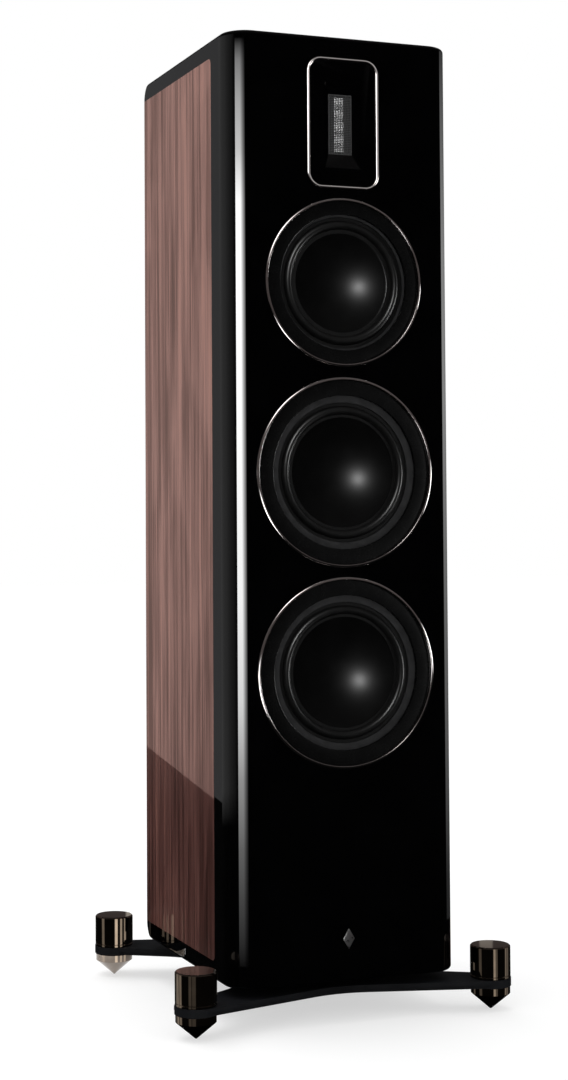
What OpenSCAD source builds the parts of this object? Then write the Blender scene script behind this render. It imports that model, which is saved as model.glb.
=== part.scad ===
// Floorstanding three-way loudspeaker: cabinet, plinth with screw feet,
// ribbon tweeter, midrange, two woofers, rear ports and terminals.
// Frame: +Z up, the front faces -Y, origin on the floor at the centre of the
// rectangle that the four feet stand on.
// Name endings: _w width, _d depth, _h height, _t thickness, _r radius,
// _x _y _z place on an axis.

/* [Cabinet] */
// Width across the two side panels
cabinet_w = 257; // [252:1:266]
// Depth from the front face to the back face
cabinet_d = 288; // [284:1:292]
// Height of the cabinet alone, without plinth
cabinet_h = 989; // [986:1:1000]
// Radius of the two vertical front edges, seen from above
front_edge_r = 28; // [22:1:29]
// Radius of the top and bottom edges at the back, seen from the side
rear_edge_r = 19.5; // [14:0.5:19.5]
// Small radius on all other outside edges
small_edge_r = 4; // [2:0.5:6]
// Thickness of the front baffle
baffle_t = 30; // [30:1:34]
// Thickness of top and bottom panels
lid_t = 19.5; // [19.5:0.5:22]
// Thickness of side and rear panels
wall_t = 22; // [18:1:24]
// Thickness of the wood-faced side panel skins
veneer_t = 3; // [1.5:0.5:4]
// Distance from the front face to the front edge of the wood face
veneer_front = 55; // [48:1:64]

/* [Base] */
// Height of the gap between plinth top and cabinet bottom
base_gap = 10; // [6:1:14]
// Thickness of the plinth plate
plinth_t = 8.5; // [7:0.5:10]
// Height of the spike cone
cone_h = 16.5; // [14:0.5:20]
// Height of the disc above the spike cone
disc_h = 8.5; // [7:0.5:10]
// Half distance between the front feet
foot_x_front = 167; // [160:1:172]
// Half distance between the rear feet
foot_x_rear = 161; // [156:1:168]
// Distance from front feet to rear feet
foot_span = 303.4; // [296:0.1:312]
// Distance from the front face back to the front feet centres
foot_setback = 4.6; // [0:0.1:8]
// Radius of the foot knobs
knob_r = 21.5; // [20:0.5:23]
// Height of the foot knobs above the plinth
knob_h = 34.3; // [30:0.1:38]

/* [Drivers] */
// Height of the lower woofer centre above the floor
lower_woofer_z = 363; // [360:1:366]
// Height of the upper woofer centre above the floor
upper_woofer_z = 572.6; // [570:0.1:575]
// Height of the midrange centre above the floor
midrange_z = 772.6; // [770:0.1:775]
// Height of the tweeter centre above the floor
tweeter_z = 941; // [939:1:943]
// Outer radius of the woofer trim ring
woofer_trim_r = 100; // [99:0.5:101]
// Outer radius of the midrange trim ring
midrange_trim_r = 89; // [88:0.5:90]
// Width of the tweeter trim frame
tweeter_w = 82; // [80:1:84]
// Height of the tweeter trim frame
tweeter_h = 139; // [136:1:141]

/* [Rear panel] */
// Inner radius of the reflex ports
port_r = 34; // [30:1:36]
// Distance between the two binding posts
post_pitch = 40; // [36:1:46]
// Height of the terminal plate centre above the floor
terminal_z = 150; // [140:1:170]
// Radius of the banana plug socket in each post
socket_r = 2.05; // [2.0:0.01:2.1]

/* [Hidden] */
$fn = 96;
fit_gap = 0.1;                            // assembly gap between fitted pieces
front_y = -foot_span / 2 - foot_setback;  // front face plane
rear_y = front_y + cabinet_d;             // rear face plane
plinth_z0 = cone_h + disc_h;              // underside of the plinth
plinth_z1 = plinth_z0 + plinth_t;         // top of the plinth
body_z0 = plinth_z1 + base_gap;           // underside of the cabinet
body_z1 = body_z0 + cabinet_h;            // top of the cabinet
half_w = cabinet_w / 2;
inner_x = half_w - wall_t;                // inside half width
inner_y0 = front_y + baffle_t;            // inside front
inner_y1 = rear_y - wall_t;               // inside back
inner_z0 = body_z0 + lid_t;               // inside floor
inner_z1 = body_z1 - lid_t;               // inside ceiling
WOOFER_Z = [lower_woofer_z, upper_woofer_z];

// centres of the feet, [x, y]
FRONT_LEFT = [-foot_x_front, -foot_span / 2];
FRONT_RIGHT = [foot_x_front, -foot_span / 2];
REAR_LEFT = [-foot_x_rear, foot_span / 2];
REAR_RIGHT = [foot_x_rear, foot_span / 2];
FEET = [FRONT_LEFT, FRONT_RIGHT, REAR_LEFT, REAR_RIGHT];

// centres of the bolts that join plinth and cabinet, [x, y]
BOLTS = [for (x = [-58, 58], y = [-75, 85]) [x, y]];
bolt_hole_r = 4.2;

// ---------- placing ----------

// puts a shape built along +Z (depth) onto the front face at height z
module on_front(z) translate([0, front_y, z]) rotate([-90, 0, 0]) children();

// same on the rear face, with +Z pointing out of the back
module on_rear(x, z) translate([x, rear_y, z]) rotate([-90, 0, 0]) children();

module at_woofers() for (z = WOOFER_Z) on_front(z) children();

// mirrors a right-hand shape when side is -1
module to_side(side) mirror([side < 0 ? 1 : 0, 0, 0]) children();

module at_corners(half_x, half_y) for (x = [-1, 1], y = [-1, 1])
  translate([x * half_x, y * half_y, 0]) children();

// at a list of [x, y] points, raised to height z
module at_points(points, z) for (point = points) translate([point[0], point[1], z]) children();

// ---------- basic shapes ----------

// box from a [low, high] pair on each axis
module box(xs, ys, zs) translate([xs[0], ys[0], zs[0]])
  cube([xs[1] - xs[0], ys[1] - ys[0], zs[1] - zs[0]]);

// box centred on the Z axis
module block(size_x, size_y, z0, z1) translate([-size_x / 2, -size_y / 2, z0])
  cube([size_x, size_y, z1 - z0]);

module rod(radius, z0, z1) translate([0, 0, z0]) cylinder(r = radius, h = z1 - z0);

module slab(z0, z1) translate([0, 0, z0]) linear_extrude(z1 - z0) children();

module ring(inner_r, outer_r, z0, z1) rotate_extrude()
  translate([inner_r, z0]) square([outer_r - inner_r, z1 - z0]);

// rounded rectangle with exact corner arcs
module rounded_rect(size_x, size_y, radius) {
  square([size_x - 2 * radius, size_y], center = true);
  square([size_x, size_y - 2 * radius], center = true);
  at_corners(size_x / 2 - radius, size_y / 2 - radius) circle(radius);
}

// ---------- driver data ----------

// all depths are measured back from the front face
rim_d = 7.5;     // cone rim
flange_d = 4.2;  // basket flange face
seat_d = 6.8;    // baffle rebate

// columns in the order of the reading functions below
WOOFER = [woofer_trim_r, 3.2, 80.8, 70, 61, 60.5, 23, 19.3, 88.5, 66, 54, 56, 8, 44, 58];
MIDRANGE = [midrange_trim_r, 3.0, 71.8, 66, 56.6, 56, 18, 15.3, 78.5, 52, 44, 47, 6, 35, 52.6];

function trim_r(driver) = driver[0];
function trim_band(driver) = driver[1];
function bezel_inner_r(driver) = driver[2];
function surround_outer_r(driver) = driver[3];
function surround_inner_r(driver) = driver[4];
function cone_rim_r(driver) = driver[5];
function cone_depth(driver) = driver[6];
function former_r(driver) = driver[7];
function cage_r(driver) = driver[8];         // basket cage at its front
function motor_face_d(driver) = driver[9];
function magnet_r(driver) = driver[10];
function back_r(driver) = driver[11];        // basket cage at its back
function screw_count(driver) = driver[12];
function spider_d(driver) = driver[13];
function dish_edge_r(driver) = driver[14];   // edge of the dished part of the cone

// outer radius of the pieces that sit inside the trim ring
function inside_trim_r(driver) = trim_r(driver) - trim_band(driver) - fit_gap;

function screw_circle_r(driver) = (trim_r(driver) - trim_band(driver) + cage_r(driver)) / 2 + 0.2;

module at_driver_screws(driver) {
  count = screw_count(driver);
  for (i = [0:count - 1])
    rotate(180 / count + i * 360 / count) translate([screw_circle_r(driver), 0, 0]) children();
}

// ---------- tweeter data ----------

tweeter_corner_r = 16;
tweeter_band = 3.2;                // width of the trim frame band
tweeter_seat_d = 4.2;              // depth of the tweeter rebate
tweeter_open_w = 66.4;             // opening through the baffle
tweeter_open_h = 116.4;
tweeter_screw_x = 27;
tweeter_screw_y = 50;
window_w = 27;                     // window in front of the ribbon
window_h = 64;
tweeter_body_d = 10.1;             // front of housing and magnets
magnet_front_t = 3;
tweeter_back_d = tweeter_body_d + 34;

// trim frame outline, made smaller by inset all round
module tweeter_outline(inset) rounded_rect(tweeter_w - 2 * inset, tweeter_h - 2 * inset,
                                           tweeter_corner_r - inset);

// ---------- rear panel data ----------

port_wall = 3;
port_flange_w = 14;                // from the inner radius to the flange edge
port_flange_d = 3;                 // how far the flange is let into the back
terminal_w = 110;
terminal_h = 90;
terminal_corner_r = 8;
terminal_seat_d = 4;
terminal_face = 1.5;               // how far the plate stands out of the back
terminal_open_w = 84;              // opening through the rear panel
terminal_open_h = 64;
terminal_screw_x = 48;
terminal_screw_y = 38;

// ---------- cabinet ----------

// seen from above: large front corners, small rear corners
module plan_profile() {
  large = front_edge_r;
  small = small_edge_r;
  translate([-half_w + large, 0]) square([cabinet_w - 2 * large, cabinet_d - small]);
  translate([-half_w, large]) square([cabinet_w, cabinet_d - large - small]);
  translate([-half_w + small, large]) square([cabinet_w - 2 * small, cabinet_d - large]);
  for (side = [-1, 1]) {
    translate([side * (half_w - large), large]) circle(large);
    translate([side * (half_w - small), cabinet_d - small]) circle(small);
  }
}

// seen from the side: first axis is depth, second is height
module side_profile() {
  front = small_edge_r;
  rear = rear_edge_r;
  translate([front, 0]) square([cabinet_d - front - rear, cabinet_h]);
  translate([0, front]) square([front * 2, cabinet_h - 2 * front]);
  translate([cabinet_d - 2 * rear, rear]) square([2 * rear, cabinet_h - 2 * rear]);
  for (height = [front, cabinet_h - front]) translate([front, height]) circle(front);
  for (height = [rear, cabinet_h - rear]) translate([cabinet_d - rear, height]) circle(rear);
}

// the outside shape that all panels are cut from
module cabinet_body() intersection() {
  translate([0, front_y, body_z0]) linear_extrude(cabinet_h) plan_profile();
  translate([-half_w, front_y, body_z0]) rotate([90, 0, 90])
    linear_extrude(cabinet_w) side_profile();
  translate([0, rear_y, body_z0 + cabinet_h / 2]) rotate([90, 0, 0])
    linear_extrude(cabinet_d) rounded_rect(cabinet_w, cabinet_h, small_edge_r);
}

// ranges that reach past the outside of the body
full_x = [-half_w - 1, half_w + 1];
behind_baffle_y = [inner_y0, rear_y + 1];

// rebate, opening and pilot holes for one cone driver
module driver_cut(driver) {
  rod(trim_r(driver) + fit_gap, -5, seat_d);
  rod(cage_r(driver) + 1, 0, baffle_t + 5);
  at_driver_screws(driver) rod(1.6, seat_d - 1, seat_d + 15.5);
}

module front_baffle() color("black") difference() {
  intersection() {
    cabinet_body();
    box(full_x, [front_y - 1, inner_y0], [body_z0 - 1, body_z1 + 1]);
  }
  at_woofers() driver_cut(WOOFER);
  on_front(midrange_z) driver_cut(MIDRANGE);
  on_front(tweeter_z) {
    slab(-5, tweeter_seat_d) tweeter_outline(-fit_gap);
    block(tweeter_open_w, tweeter_open_h, 0, baffle_t + 5);
  }
}

module cabinet_top() color("black") intersection() {
  cabinet_body();
  box(full_x, behind_baffle_y, [inner_z1, body_z1 + 1]);
}

module cabinet_bottom() color("black") difference() {
  intersection() {
    cabinet_body();
    box(full_x, behind_baffle_y, [body_z0 - 1, inner_z0]);
  }
  at_points(BOLTS, body_z0) rod(bolt_hole_r, -1, 14.5);
}

// side is -1 for left, 1 for right; over lengthens the box at top and bottom
module veneer_box(side, over) to_side(side)
  box([half_w - veneer_t, half_w + 1], [front_y + veneer_front, rear_y + 1],
      [inner_z0 - over, inner_z1 + over]);

module side_panel(side) difference() {
  intersection() {
    cabinet_body();
    to_side(side) box([inner_x, half_w + 1], behind_baffle_y, [inner_z0, inner_z1]);
  }
  veneer_box(side, over = 1);
}

module cabinet_side_left() color("black") side_panel(-1);
module cabinet_side_right() color("black") side_panel(1);

module veneer(side) intersection() {
  cabinet_body();
  veneer_box(side, over = 0);
}

module veneer_left() color([0.36, 0.2, 0.13]) veneer(-1);
module veneer_right() color([0.36, 0.2, 0.13]) veneer(1);

module cabinet_rear() color("black") difference() {
  box([-inner_x, inner_x], [inner_y1, rear_y], [inner_z0, inner_z1]);
  for (z = WOOFER_Z) on_rear(0, z) {
    rod(port_r + port_wall + fit_gap, -wall_t - 1, 1);
    rod(port_r + port_flange_w + fit_gap, -port_flange_d, 1);
  }
  on_rear(0, terminal_z) {
    slab(-terminal_seat_d, 1) rounded_rect(terminal_w + 2 * fit_gap, terminal_h + 2 * fit_gap,
                                           terminal_corner_r + fit_gap);
    block(terminal_open_w, terminal_open_h, -wall_t - 1, 1);
    at_corners(terminal_screw_x, terminal_screw_y) rod(1.6, -16, -2);
  }
}

brace_t = 15;
BRACE_Z = [body_z0 + 207, (lower_woofer_z + upper_woofer_z - brace_t) / 2, midrange_z - 110.5];

// three shelf braces with a large window in each
module cabinet_braces() color("burlywood") for (z = BRACE_Z) difference() {
  box([-inner_x, inner_x], [inner_y0, inner_y1], [z, z + brace_t]);
  translate([0, front_y + 150, 0]) slab(z - 1, z + brace_t + 1) rounded_rect(150, 176, 20);
}

chamber_outer_r = 94;
chamber_inner_r = 88;
chamber_length = 170;
chamber_cap_t = 6;
chamber_cable_x = 62;

// closed tube behind the midrange, with a cable hole in its cap
module midrange_chamber() color("burlywood") on_front(midrange_z) difference() {
  rod(chamber_outer_r, baffle_t, baffle_t + chamber_length);
  rod(chamber_inner_r, baffle_t - 1, baffle_t + chamber_length - chamber_cap_t);
  translate([chamber_cable_x, 0, 0]) rod(2.5, baffle_t, baffle_t + chamber_length + 10);
}

// bottom and top of the sheets on each side wall
WADDING_Z = [[BRACE_Z[0] + brace_t + 3, 450], [480, BRACE_Z[2] - 3.5]];

// sheets of fibre on the side walls, between the braces
module damping_wadding() color("white") for (side = [-1, 1], zs = WADDING_Z)
  to_side(side) box([inner_x - 14, inner_x - 0.5], [inner_y0 + 8, inner_y1 - 8], zs);

badge_z = 87.6;
badge_half_w = 6.5;
badge_half_h = 10.5;
badge_t = 0.6;

// plain lozenge emblem, low on the baffle
module front_badge() color("silver") on_front(badge_z) slab(-badge_t, 0)
  polygon([[0, -badge_half_h], [badge_half_w, 0], [0, badge_half_h], [-badge_half_w, 0]]);

// ---------- base ----------

boss_r = knob_r + 0.5;             // plinth boss around each foot
bore_r = 9;                        // plinth bore that the knob turns in
plinth_step = 4;                   // height of the lower, narrower layer
plinth_inset = 3;                  // how much deeper the lower layer is cut in
plinth_far = 260;                  // the straight flanks of the cuts run out to here

// region in front of the plinth's front edge: a shallow V with a round apex
module bow_cut(inset) {
  apex_r = 115;
  flank_angle = 15.1;
  radius = apex_r + inset;
  center_y = front_y + 22 - apex_r;
  tangent_x = radius * sin(flank_angle);
  tangent_y = center_y + radius * cos(flank_angle);
  far_y = tangent_y - (plinth_far - tangent_x) * tan(flank_angle);
  translate([0, center_y]) circle(radius);
  polygon([[-tangent_x, tangent_y], [-plinth_far, far_y], [-plinth_far, -400],
           [plinth_far, -400], [plinth_far, far_y], [tangent_x, tangent_y]]);
}

// region left of the plinth: a deeper V with a round apex
module waist_cut(inset) {
  flank_angle = 31;
  radius = 121 + inset;
  center_x = -181;
  tangent_x = center_x + radius * sin(flank_angle);
  tangent_y = radius * cos(flank_angle);
  far_y = tangent_y + (tangent_x + plinth_far) * tan(flank_angle);
  translate([center_x, 0]) circle(radius);
  polygon([[tangent_x, tangent_y], [tangent_x, -tangent_y], [-plinth_far, -far_y],
           [-300, -tangent_y - 90], [-300, tangent_y + 90], [-plinth_far, far_y]]);
}

// removes the plate corner outside the boss of one foot
module boss_corner_cut(foot) {
  out_x = sign(foot[0]);
  out_y = sign(foot[1]);
  translate(foot) polygon([[0, 0], [-out_x * 9, out_y * 60], [out_x * 60, out_y * 60],
                           [out_x * 60, -out_y * 5]]);
}

module plinth_outline(inset) {
  end_y = foot_span / 2 + boss_r;
  difference() {
    polygon([[-foot_x_front - boss_r, -end_y], [foot_x_front + boss_r, -end_y],
             [foot_x_rear + boss_r, end_y], [-foot_x_rear - boss_r, end_y]]);
    bow_cut(inset);
    mirror([0, 1]) bow_cut(inset);
    waist_cut(inset);
    mirror([1, 0]) waist_cut(inset);
    for (foot = FEET) boss_corner_cut(foot);
  }
}

module plinth() color([0.04, 0.04, 0.05]) difference() {
  union() {
    slab(plinth_z0 + plinth_step, plinth_z1) plinth_outline(0);
    slab(plinth_z0, plinth_z0 + plinth_step) plinth_outline(plinth_inset);
    at_points(FEET, plinth_z0) rod(boss_r, 0, plinth_t);
  }
  at_points(FEET, plinth_z0) rod(bore_r, -1, plinth_t + 1);
  at_points(BOLTS, plinth_z0) {
    rod(bolt_hole_r, -1, plinth_t + 1);
    rod(7.2, -1, 4.2);
  }
}

module plinth_spacers() color("black") at_points(BOLTS, plinth_z1) difference() {
  rod(16, 0, base_gap);
  rod(bolt_hole_r, -1, base_gap + 1);
}

// bolts put in from below, with a hexagon socket in the head
module plinth_bolts() color("gray") at_points(BOLTS, plinth_z0) difference() {
  union() {
    rod(6.5, 0.2, 4.2);
    rod(4, 0.2, plinth_t + base_gap + 13.7);
  }
  rod(2.9, -1, 2.6, $fn = 6);
}

stud_r = 5;
stud_hole_r = stud_r + 0.05;
stud_hole_h = 25;                  // top of the stud hole above the plinth
stud_top = plinth_z1 + 23;

// knob: chamfered cap with a fine groove near its foot, and a hollow sleeve
// that turns in the plinth
module foot_knob(foot) {
  sleeve_r = bore_r - 0.05;
  sleeve_z = -plinth_t + 0.2;
  translate([foot[0], foot[1], plinth_z1]) color([0.12, 0.11, 0.1]) rotate_extrude()
    polygon([[stud_hole_r, sleeve_z], [sleeve_r, sleeve_z], [sleeve_r, 0],
             [knob_r - 0.6, 0], [knob_r, 0.6],
             [knob_r, 2.4], [knob_r - 0.5, 2.8], [knob_r - 0.5, 3.2], [knob_r, 3.6],
             [knob_r, knob_h - 1.4], [knob_r - 1.4, knob_h], [0, knob_h],
             [0, stud_hole_h], [stud_hole_r, stud_hole_h]]);
}

// spike: cone, disc and the stud that runs up inside the knob
module foot_spike(foot) {
  disc_r = knob_r - 0.5;
  translate([foot[0], foot[1], 0]) color([0.12, 0.11, 0.1]) rotate_extrude()
    polygon([[0, 0], [1, 0], [disc_r - 0.5, cone_h], [disc_r, cone_h + 0.5],
             [disc_r, plinth_z0 - 0.6], [disc_r - 0.6, plinth_z0],
             [stud_r, plinth_z0], [stud_r, stud_top - 1], [stud_r - 1, stud_top], [0, stud_top]]);
}

module foot_knob_front_left() foot_knob(FRONT_LEFT);
module foot_knob_front_right() foot_knob(FRONT_RIGHT);
module foot_knob_rear_left() foot_knob(REAR_LEFT);
module foot_knob_rear_right() foot_knob(REAR_RIGHT);
module foot_spike_front_left() foot_spike(FRONT_LEFT);
module foot_spike_front_right() foot_spike(FRONT_RIGHT);
module foot_spike_rear_left() foot_spike(REAR_LEFT);
module foot_spike_rear_right() foot_spike(REAR_RIGHT);

// ---------- tweeter ----------

// stepped frame standing out of the front face
module tweeter_trim() color("silver") on_front(tweeter_z) difference() {
  union() {
    slab(-0.6, tweeter_seat_d) tweeter_outline(0);
    slab(-1.4, -0.5) tweeter_outline(0.7);
  }
  slab(-3, 6) tweeter_outline(tweeter_band);
}

module tweeter_faceplate() color([0.03, 0.03, 0.03]) on_front(tweeter_z) difference() {
  union() {
    slab(0.8, 4.1) tweeter_outline(tweeter_band + fit_gap);
    block(tweeter_open_w - 0.6, tweeter_open_h - 0.6, 4, 10);
  }
  // flared mouth: sloped on four sides down to the window
  hull() {
    block(41, 96, 0.7, 0.8);
    block(window_w, window_h, 8, 8.1);
  }
  block(window_w, window_h, 7.5, 12.5);
  at_corners(tweeter_screw_x, tweeter_screw_y) rod(1.6, 6, 12);
}

module tweeter_grille() color("dimgray") on_front(tweeter_z) slab(8.2, 8.7) difference() {
  square([window_w - 2 * fit_gap, window_h - 2 * fit_gap], center = true);
  for (column = [-3:3], row = [-7:7])
    translate([column * 3.6, row * 4.1]) square([2.7, 3.2], center = true);
}

module tweeter_ribbon() color("lightgray") on_front(tweeter_z) block(10, 58, 11.2, 11.6);

// a thin front bar and a thicker rear bar on each side of the ribbon
module tweeter_magnets() color("darkgray") on_front(tweeter_z) for (side = [-1, 1]) {
  step_d = tweeter_body_d + magnet_front_t;
  translate([side * 11.25, 0, 0]) block(10.5, 60, tweeter_body_d, step_d);
  translate([side * 13, 0, 0]) block(12, 60, step_d, step_d + 10);
}

// closed box behind the faceplate
module tweeter_housing() color([0.1, 0.1, 0.1]) on_front(tweeter_z) difference() {
  block(65, 115, tweeter_body_d, tweeter_back_d);
  block(48, 80, 9, 38);
  at_corners(tweeter_screw_x, tweeter_screw_y) rod(2.1, 9, 49);
}

// ---------- cone drivers ----------

// ring with a half-round front
module trim_ring(driver) {
  band = trim_band(driver);
  rotate_extrude() translate([trim_r(driver) - band / 2, 0]) {
    circle(band / 2, $fn = 48);
    translate([-band / 2, 0]) square([band, seat_d]);
  }
}

// flat cover between trim ring and surround, with a short skirt inside
module bezel(driver) {
  inner = bezel_inner_r(driver);
  outer = inside_trim_r(driver);
  rotate_extrude()
    polygon([[inner + 0.9, 0.6], [outer, 0.6], [outer, 1.8], [inner + 1.2, 1.8],
             [inner + 1.2, flange_d], [inner, flange_d], [inner, 1.5]]);
}

basket_rim_t = 6;                  // length of the straight back part of the cage

// outer radius of the tapering cage at a depth
function cage_r_at(driver, depth) = cage_r(driver) - (cage_r(driver) - back_r(driver))
  * (depth - seat_d) / (motor_face_d(driver) - basket_rim_t - seat_d);

// half section of flange, cage and back ring
module basket_section(driver) {
  front = cage_r(driver);
  back = back_r(driver);
  face = motor_face_d(driver);
  inner = surround_outer_r(driver) + 0.8;
  lip = surround_outer_r(driver) + 3.7;
  step = bezel_inner_r(driver) - 0.3;
  outer = inside_trim_r(driver);
  hub = former_r(driver) + 2.7;
  polygon([[inner, rim_d], [lip, rim_d], [lip, 5.6], [step, flange_d + 0.2], [step, flange_d],
           [outer, flange_d], [outer, seat_d], [front, seat_d], [back, face - basket_rim_t],
           [back, face], [hub, face], [hub, face - 4], [back - 4, face - 4],
           [front - 4.5, seat_d + 4], [inner, seat_d + 4]]);
}

// half section of the shelf that carries the spider
module spider_shelf_section(driver) {
  shelf_d = spider_d(driver) + 0.6;
  shelf_back_d = shelf_d + 2;
  inner = back_r(driver) - 2;
  polygon([[inner, shelf_d], [cage_r_at(driver, shelf_d) - 1, shelf_d],
           [cage_r_at(driver, shelf_back_d) - 1, shelf_back_d], [inner, shelf_back_d]]);
}

// cast frame: flange, open cage, spider shelf and back ring
module basket(driver) {
  opening_w = cage_r(driver) * 0.56;
  difference() {
    rotate_extrude() {
      basket_section(driver);
      spider_shelf_section(driver);
    }
    for (i = [0:5]) rotate(i * 60)
      translate([back_r(driver) - 14, -opening_w / 2, seat_d + 5.5])
        cube([60, opening_w, spider_d(driver) - seat_d - 8.5]);
    at_driver_screws(driver) rod(2.2, 0, 12);
  }
}

// soft half roll, bulging forward, with two glued lips
module surround(driver) {
  outer = surround_outer_r(driver);
  inner = surround_inner_r(driver);
  edge = dish_edge_r(driver);
  roll_r = (outer - inner) / 2;
  skin = 0.7;
  rotate_extrude() {
    translate([(outer + inner) / 2, rim_d]) difference() {
      circle(roll_r, $fn = 64);
      circle(roll_r - skin, $fn = 64);
      translate([-roll_r - 1, 0]) square([2 * roll_r + 2, roll_r + 1]);
    }
    translate([outer - skin, rim_d - skin]) square([4.2, skin]);
    translate([edge, rim_d - skin]) square([inner + skin - edge, skin]);
  }
}

cone_t = 1;

// sphere radius of the dish, from its edge radius and depth
function dish_r(driver) = (pow(dish_edge_r(driver), 2) + pow(cone_depth(driver), 2))
  / (2 * cone_depth(driver));
function dish_center_d(driver) = rim_d + cone_depth(driver) - dish_r(driver);

// one-piece concave dish with a flat glued rim
module cone(driver) {
  radius = dish_r(driver);
  edge = dish_edge_r(driver);
  rotate_extrude() {
    intersection() {
      translate([0, dish_center_d(driver)]) difference() {
        circle(radius + cone_t, $fn = 180);
        circle(radius, $fn = 180);
      }
      translate([0, rim_d]) square([edge + 0.3, cone_depth(driver) + 2]);
    }
    translate([edge, rim_d]) square([cone_rim_r(driver) - edge, cone_t]);
  }
}

// thin former, starting just behind the dish, with the winding at its end
module voice_coil(driver) {
  radius = former_r(driver);
  face = motor_face_d(driver);
  start_d = dish_center_d(driver) + sqrt(pow(dish_r(driver) + cone_t, 2) - pow(radius, 2)) + 0.05;
  rotate_extrude() {
    translate([radius, start_d]) square([0.6, face + 10.5 - start_d]);
    translate([radius + 0.5, face - 4]) square([0.9, 14]);
  }
}

module spider(driver) ring(former_r(driver) + 1.0, back_r(driver) + 3,
                           spider_d(driver) - 0.6, spider_d(driver) + 0.6);

// front plate, ring magnet, back plate with hollow pole
module motor(driver) {
  former = former_r(driver);
  magnet = magnet_r(driver);
  plate = magnet - 3;
  pole = former - 0.7;
  vent_r = 6;
  face = motor_face_d(driver);
  magnet_front = face + 6;
  magnet_back = face + 24;
  back = face + 30;
  ring(former + 2.3, plate, face, magnet_front);
  ring(former + 9, magnet, magnet_front, magnet_back);
  rotate_extrude()
    polygon([[vent_r, face - 2], [pole, face - 2], [pole, magnet_back], [plate, magnet_back],
             [magnet - 5, back], [vent_r, back]]);
}

module midrange_trim_ring() color("silver") on_front(midrange_z) trim_ring(MIDRANGE);
module midrange_basket() color("dimgray") on_front(midrange_z) basket(MIDRANGE);
module midrange_surround() color([0.05, 0.05, 0.05]) on_front(midrange_z) surround(MIDRANGE);
module midrange_cone() color([0.08, 0.08, 0.08]) on_front(midrange_z) cone(MIDRANGE);
module midrange_voice_coil() color("orange") on_front(midrange_z) voice_coil(MIDRANGE);
module midrange_spider() color("goldenrod") on_front(midrange_z) spider(MIDRANGE);
module midrange_motor() color("gray") on_front(midrange_z) motor(MIDRANGE);

module woofer_trim_rings() color("silver") at_woofers() trim_ring(WOOFER);
module woofer_baskets() color("dimgray") at_woofers() basket(WOOFER);
module woofer_motors() color("gray") at_woofers() motor(WOOFER);
module driver_bezels() color([0.03, 0.03, 0.03]) {
  at_woofers() bezel(WOOFER);
  on_front(midrange_z) bezel(MIDRANGE);
}

module upper_woofer_cone() color([0.08, 0.08, 0.08]) on_front(upper_woofer_z) cone(WOOFER);
module upper_woofer_surround() color([0.05, 0.05, 0.05]) on_front(upper_woofer_z) surround(WOOFER);
module upper_woofer_voice_coil() color("orange") on_front(upper_woofer_z) voice_coil(WOOFER);
module upper_woofer_spider() color("goldenrod") on_front(upper_woofer_z) spider(WOOFER);
module lower_woofer_cone() color([0.08, 0.08, 0.08]) on_front(lower_woofer_z) cone(WOOFER);
module lower_woofer_surround() color([0.05, 0.05, 0.05]) on_front(lower_woofer_z) surround(WOOFER);
module lower_woofer_voice_coil() color("orange") on_front(lower_woofer_z) voice_coil(WOOFER);
module lower_woofer_spider() color("goldenrod") on_front(lower_woofer_z) spider(WOOFER);

// cap screw: head below z = 0, shank along +Z
module screw(length) difference() {
  union() {
    rod(3.4, -2.2, 0);
    rod(1.6, 0, length);
  }
  rod(1.5, -3, -0.8, $fn = 6);
}

// screw with its head above height z and its shank along -Z
module screw_down(z, length) translate([0, 0, z]) mirror([0, 0, 1]) screw(length);

module driver_screws(driver) at_driver_screws(driver) translate([0, 0, flange_d]) screw(17);

module mounting_screws() color("dimgray") {
  at_woofers() driver_screws(WOOFER);
  on_front(midrange_z) driver_screws(MIDRANGE);
  on_front(tweeter_z) at_corners(tweeter_screw_x, tweeter_screw_y) screw_down(tweeter_back_d, 36);
  on_rear(0, terminal_z) at_corners(terminal_screw_x, terminal_screw_y)
    screw_down(terminal_face, 16);
}

// ---------- rear ----------

port_length = 150;                 // inward from the rear face
port_proud = 2;

// flare cut from the port mouth, [radius, depth] from its inner start
PORT_FLARE = [[0, 0], [1, 0], [1.6, 4], [3.2, 7.4], [6, 9.6], [9, 10.1], [9, 12], [0, 12]];

// flared tube with an outside flange let into the back
module reflex_ports() color("black") for (z = WOOFER_Z) on_rear(0, z) rotate_extrude()
  difference() {
    union() {
      translate([port_r, -port_length]) square([port_wall, port_length + port_proud]);
      translate([port_r, -port_flange_d]) square([port_flange_w, port_flange_d + port_proud]);
    }
    translate([port_r - 1, -8]) polygon(PORT_FLARE);
  }

// plate with a recessed tray for the two posts
module terminal_plate() color("black") on_rear(0, terminal_z) difference() {
  union() {
    slab(-terminal_seat_d, terminal_face) rounded_rect(terminal_w, terminal_h, terminal_corner_r);
    block(terminal_open_w - 1, terminal_open_h - 1, -14, -3);
  }
  block(76, 56, -10, 10);
  for (side = [-1, 1]) translate([side * post_pitch / 2, 0, 0]) rod(4.1, -20, 0);
  at_corners(terminal_screw_x, terminal_screw_y) rod(1.8, -6, 6);
}

// side is -1 for the positive post, 1 for the negative one
module at_post(side) on_rear(side * post_pitch / 2, terminal_z) children();

// post with collar, lock nut inside, and the banana socket down its axis
module binding_post_stems() color("gold") for (side = [-1, 1]) at_post(side) difference() {
  union() {
    rod(4, -28, 16);
    rod(9, -10, -6);
    rod(7, -18, -14, $fn = 6);
  }
  rod(socket_r, -3, 17);
}

cap_skirt_z = -4.4;                // inner end of each cap, where the washer lies

// non-turning pressure washer under each cap
module post_washer(side) at_post(side) ring(4.2, 8.5, -6, cap_skirt_z);

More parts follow.
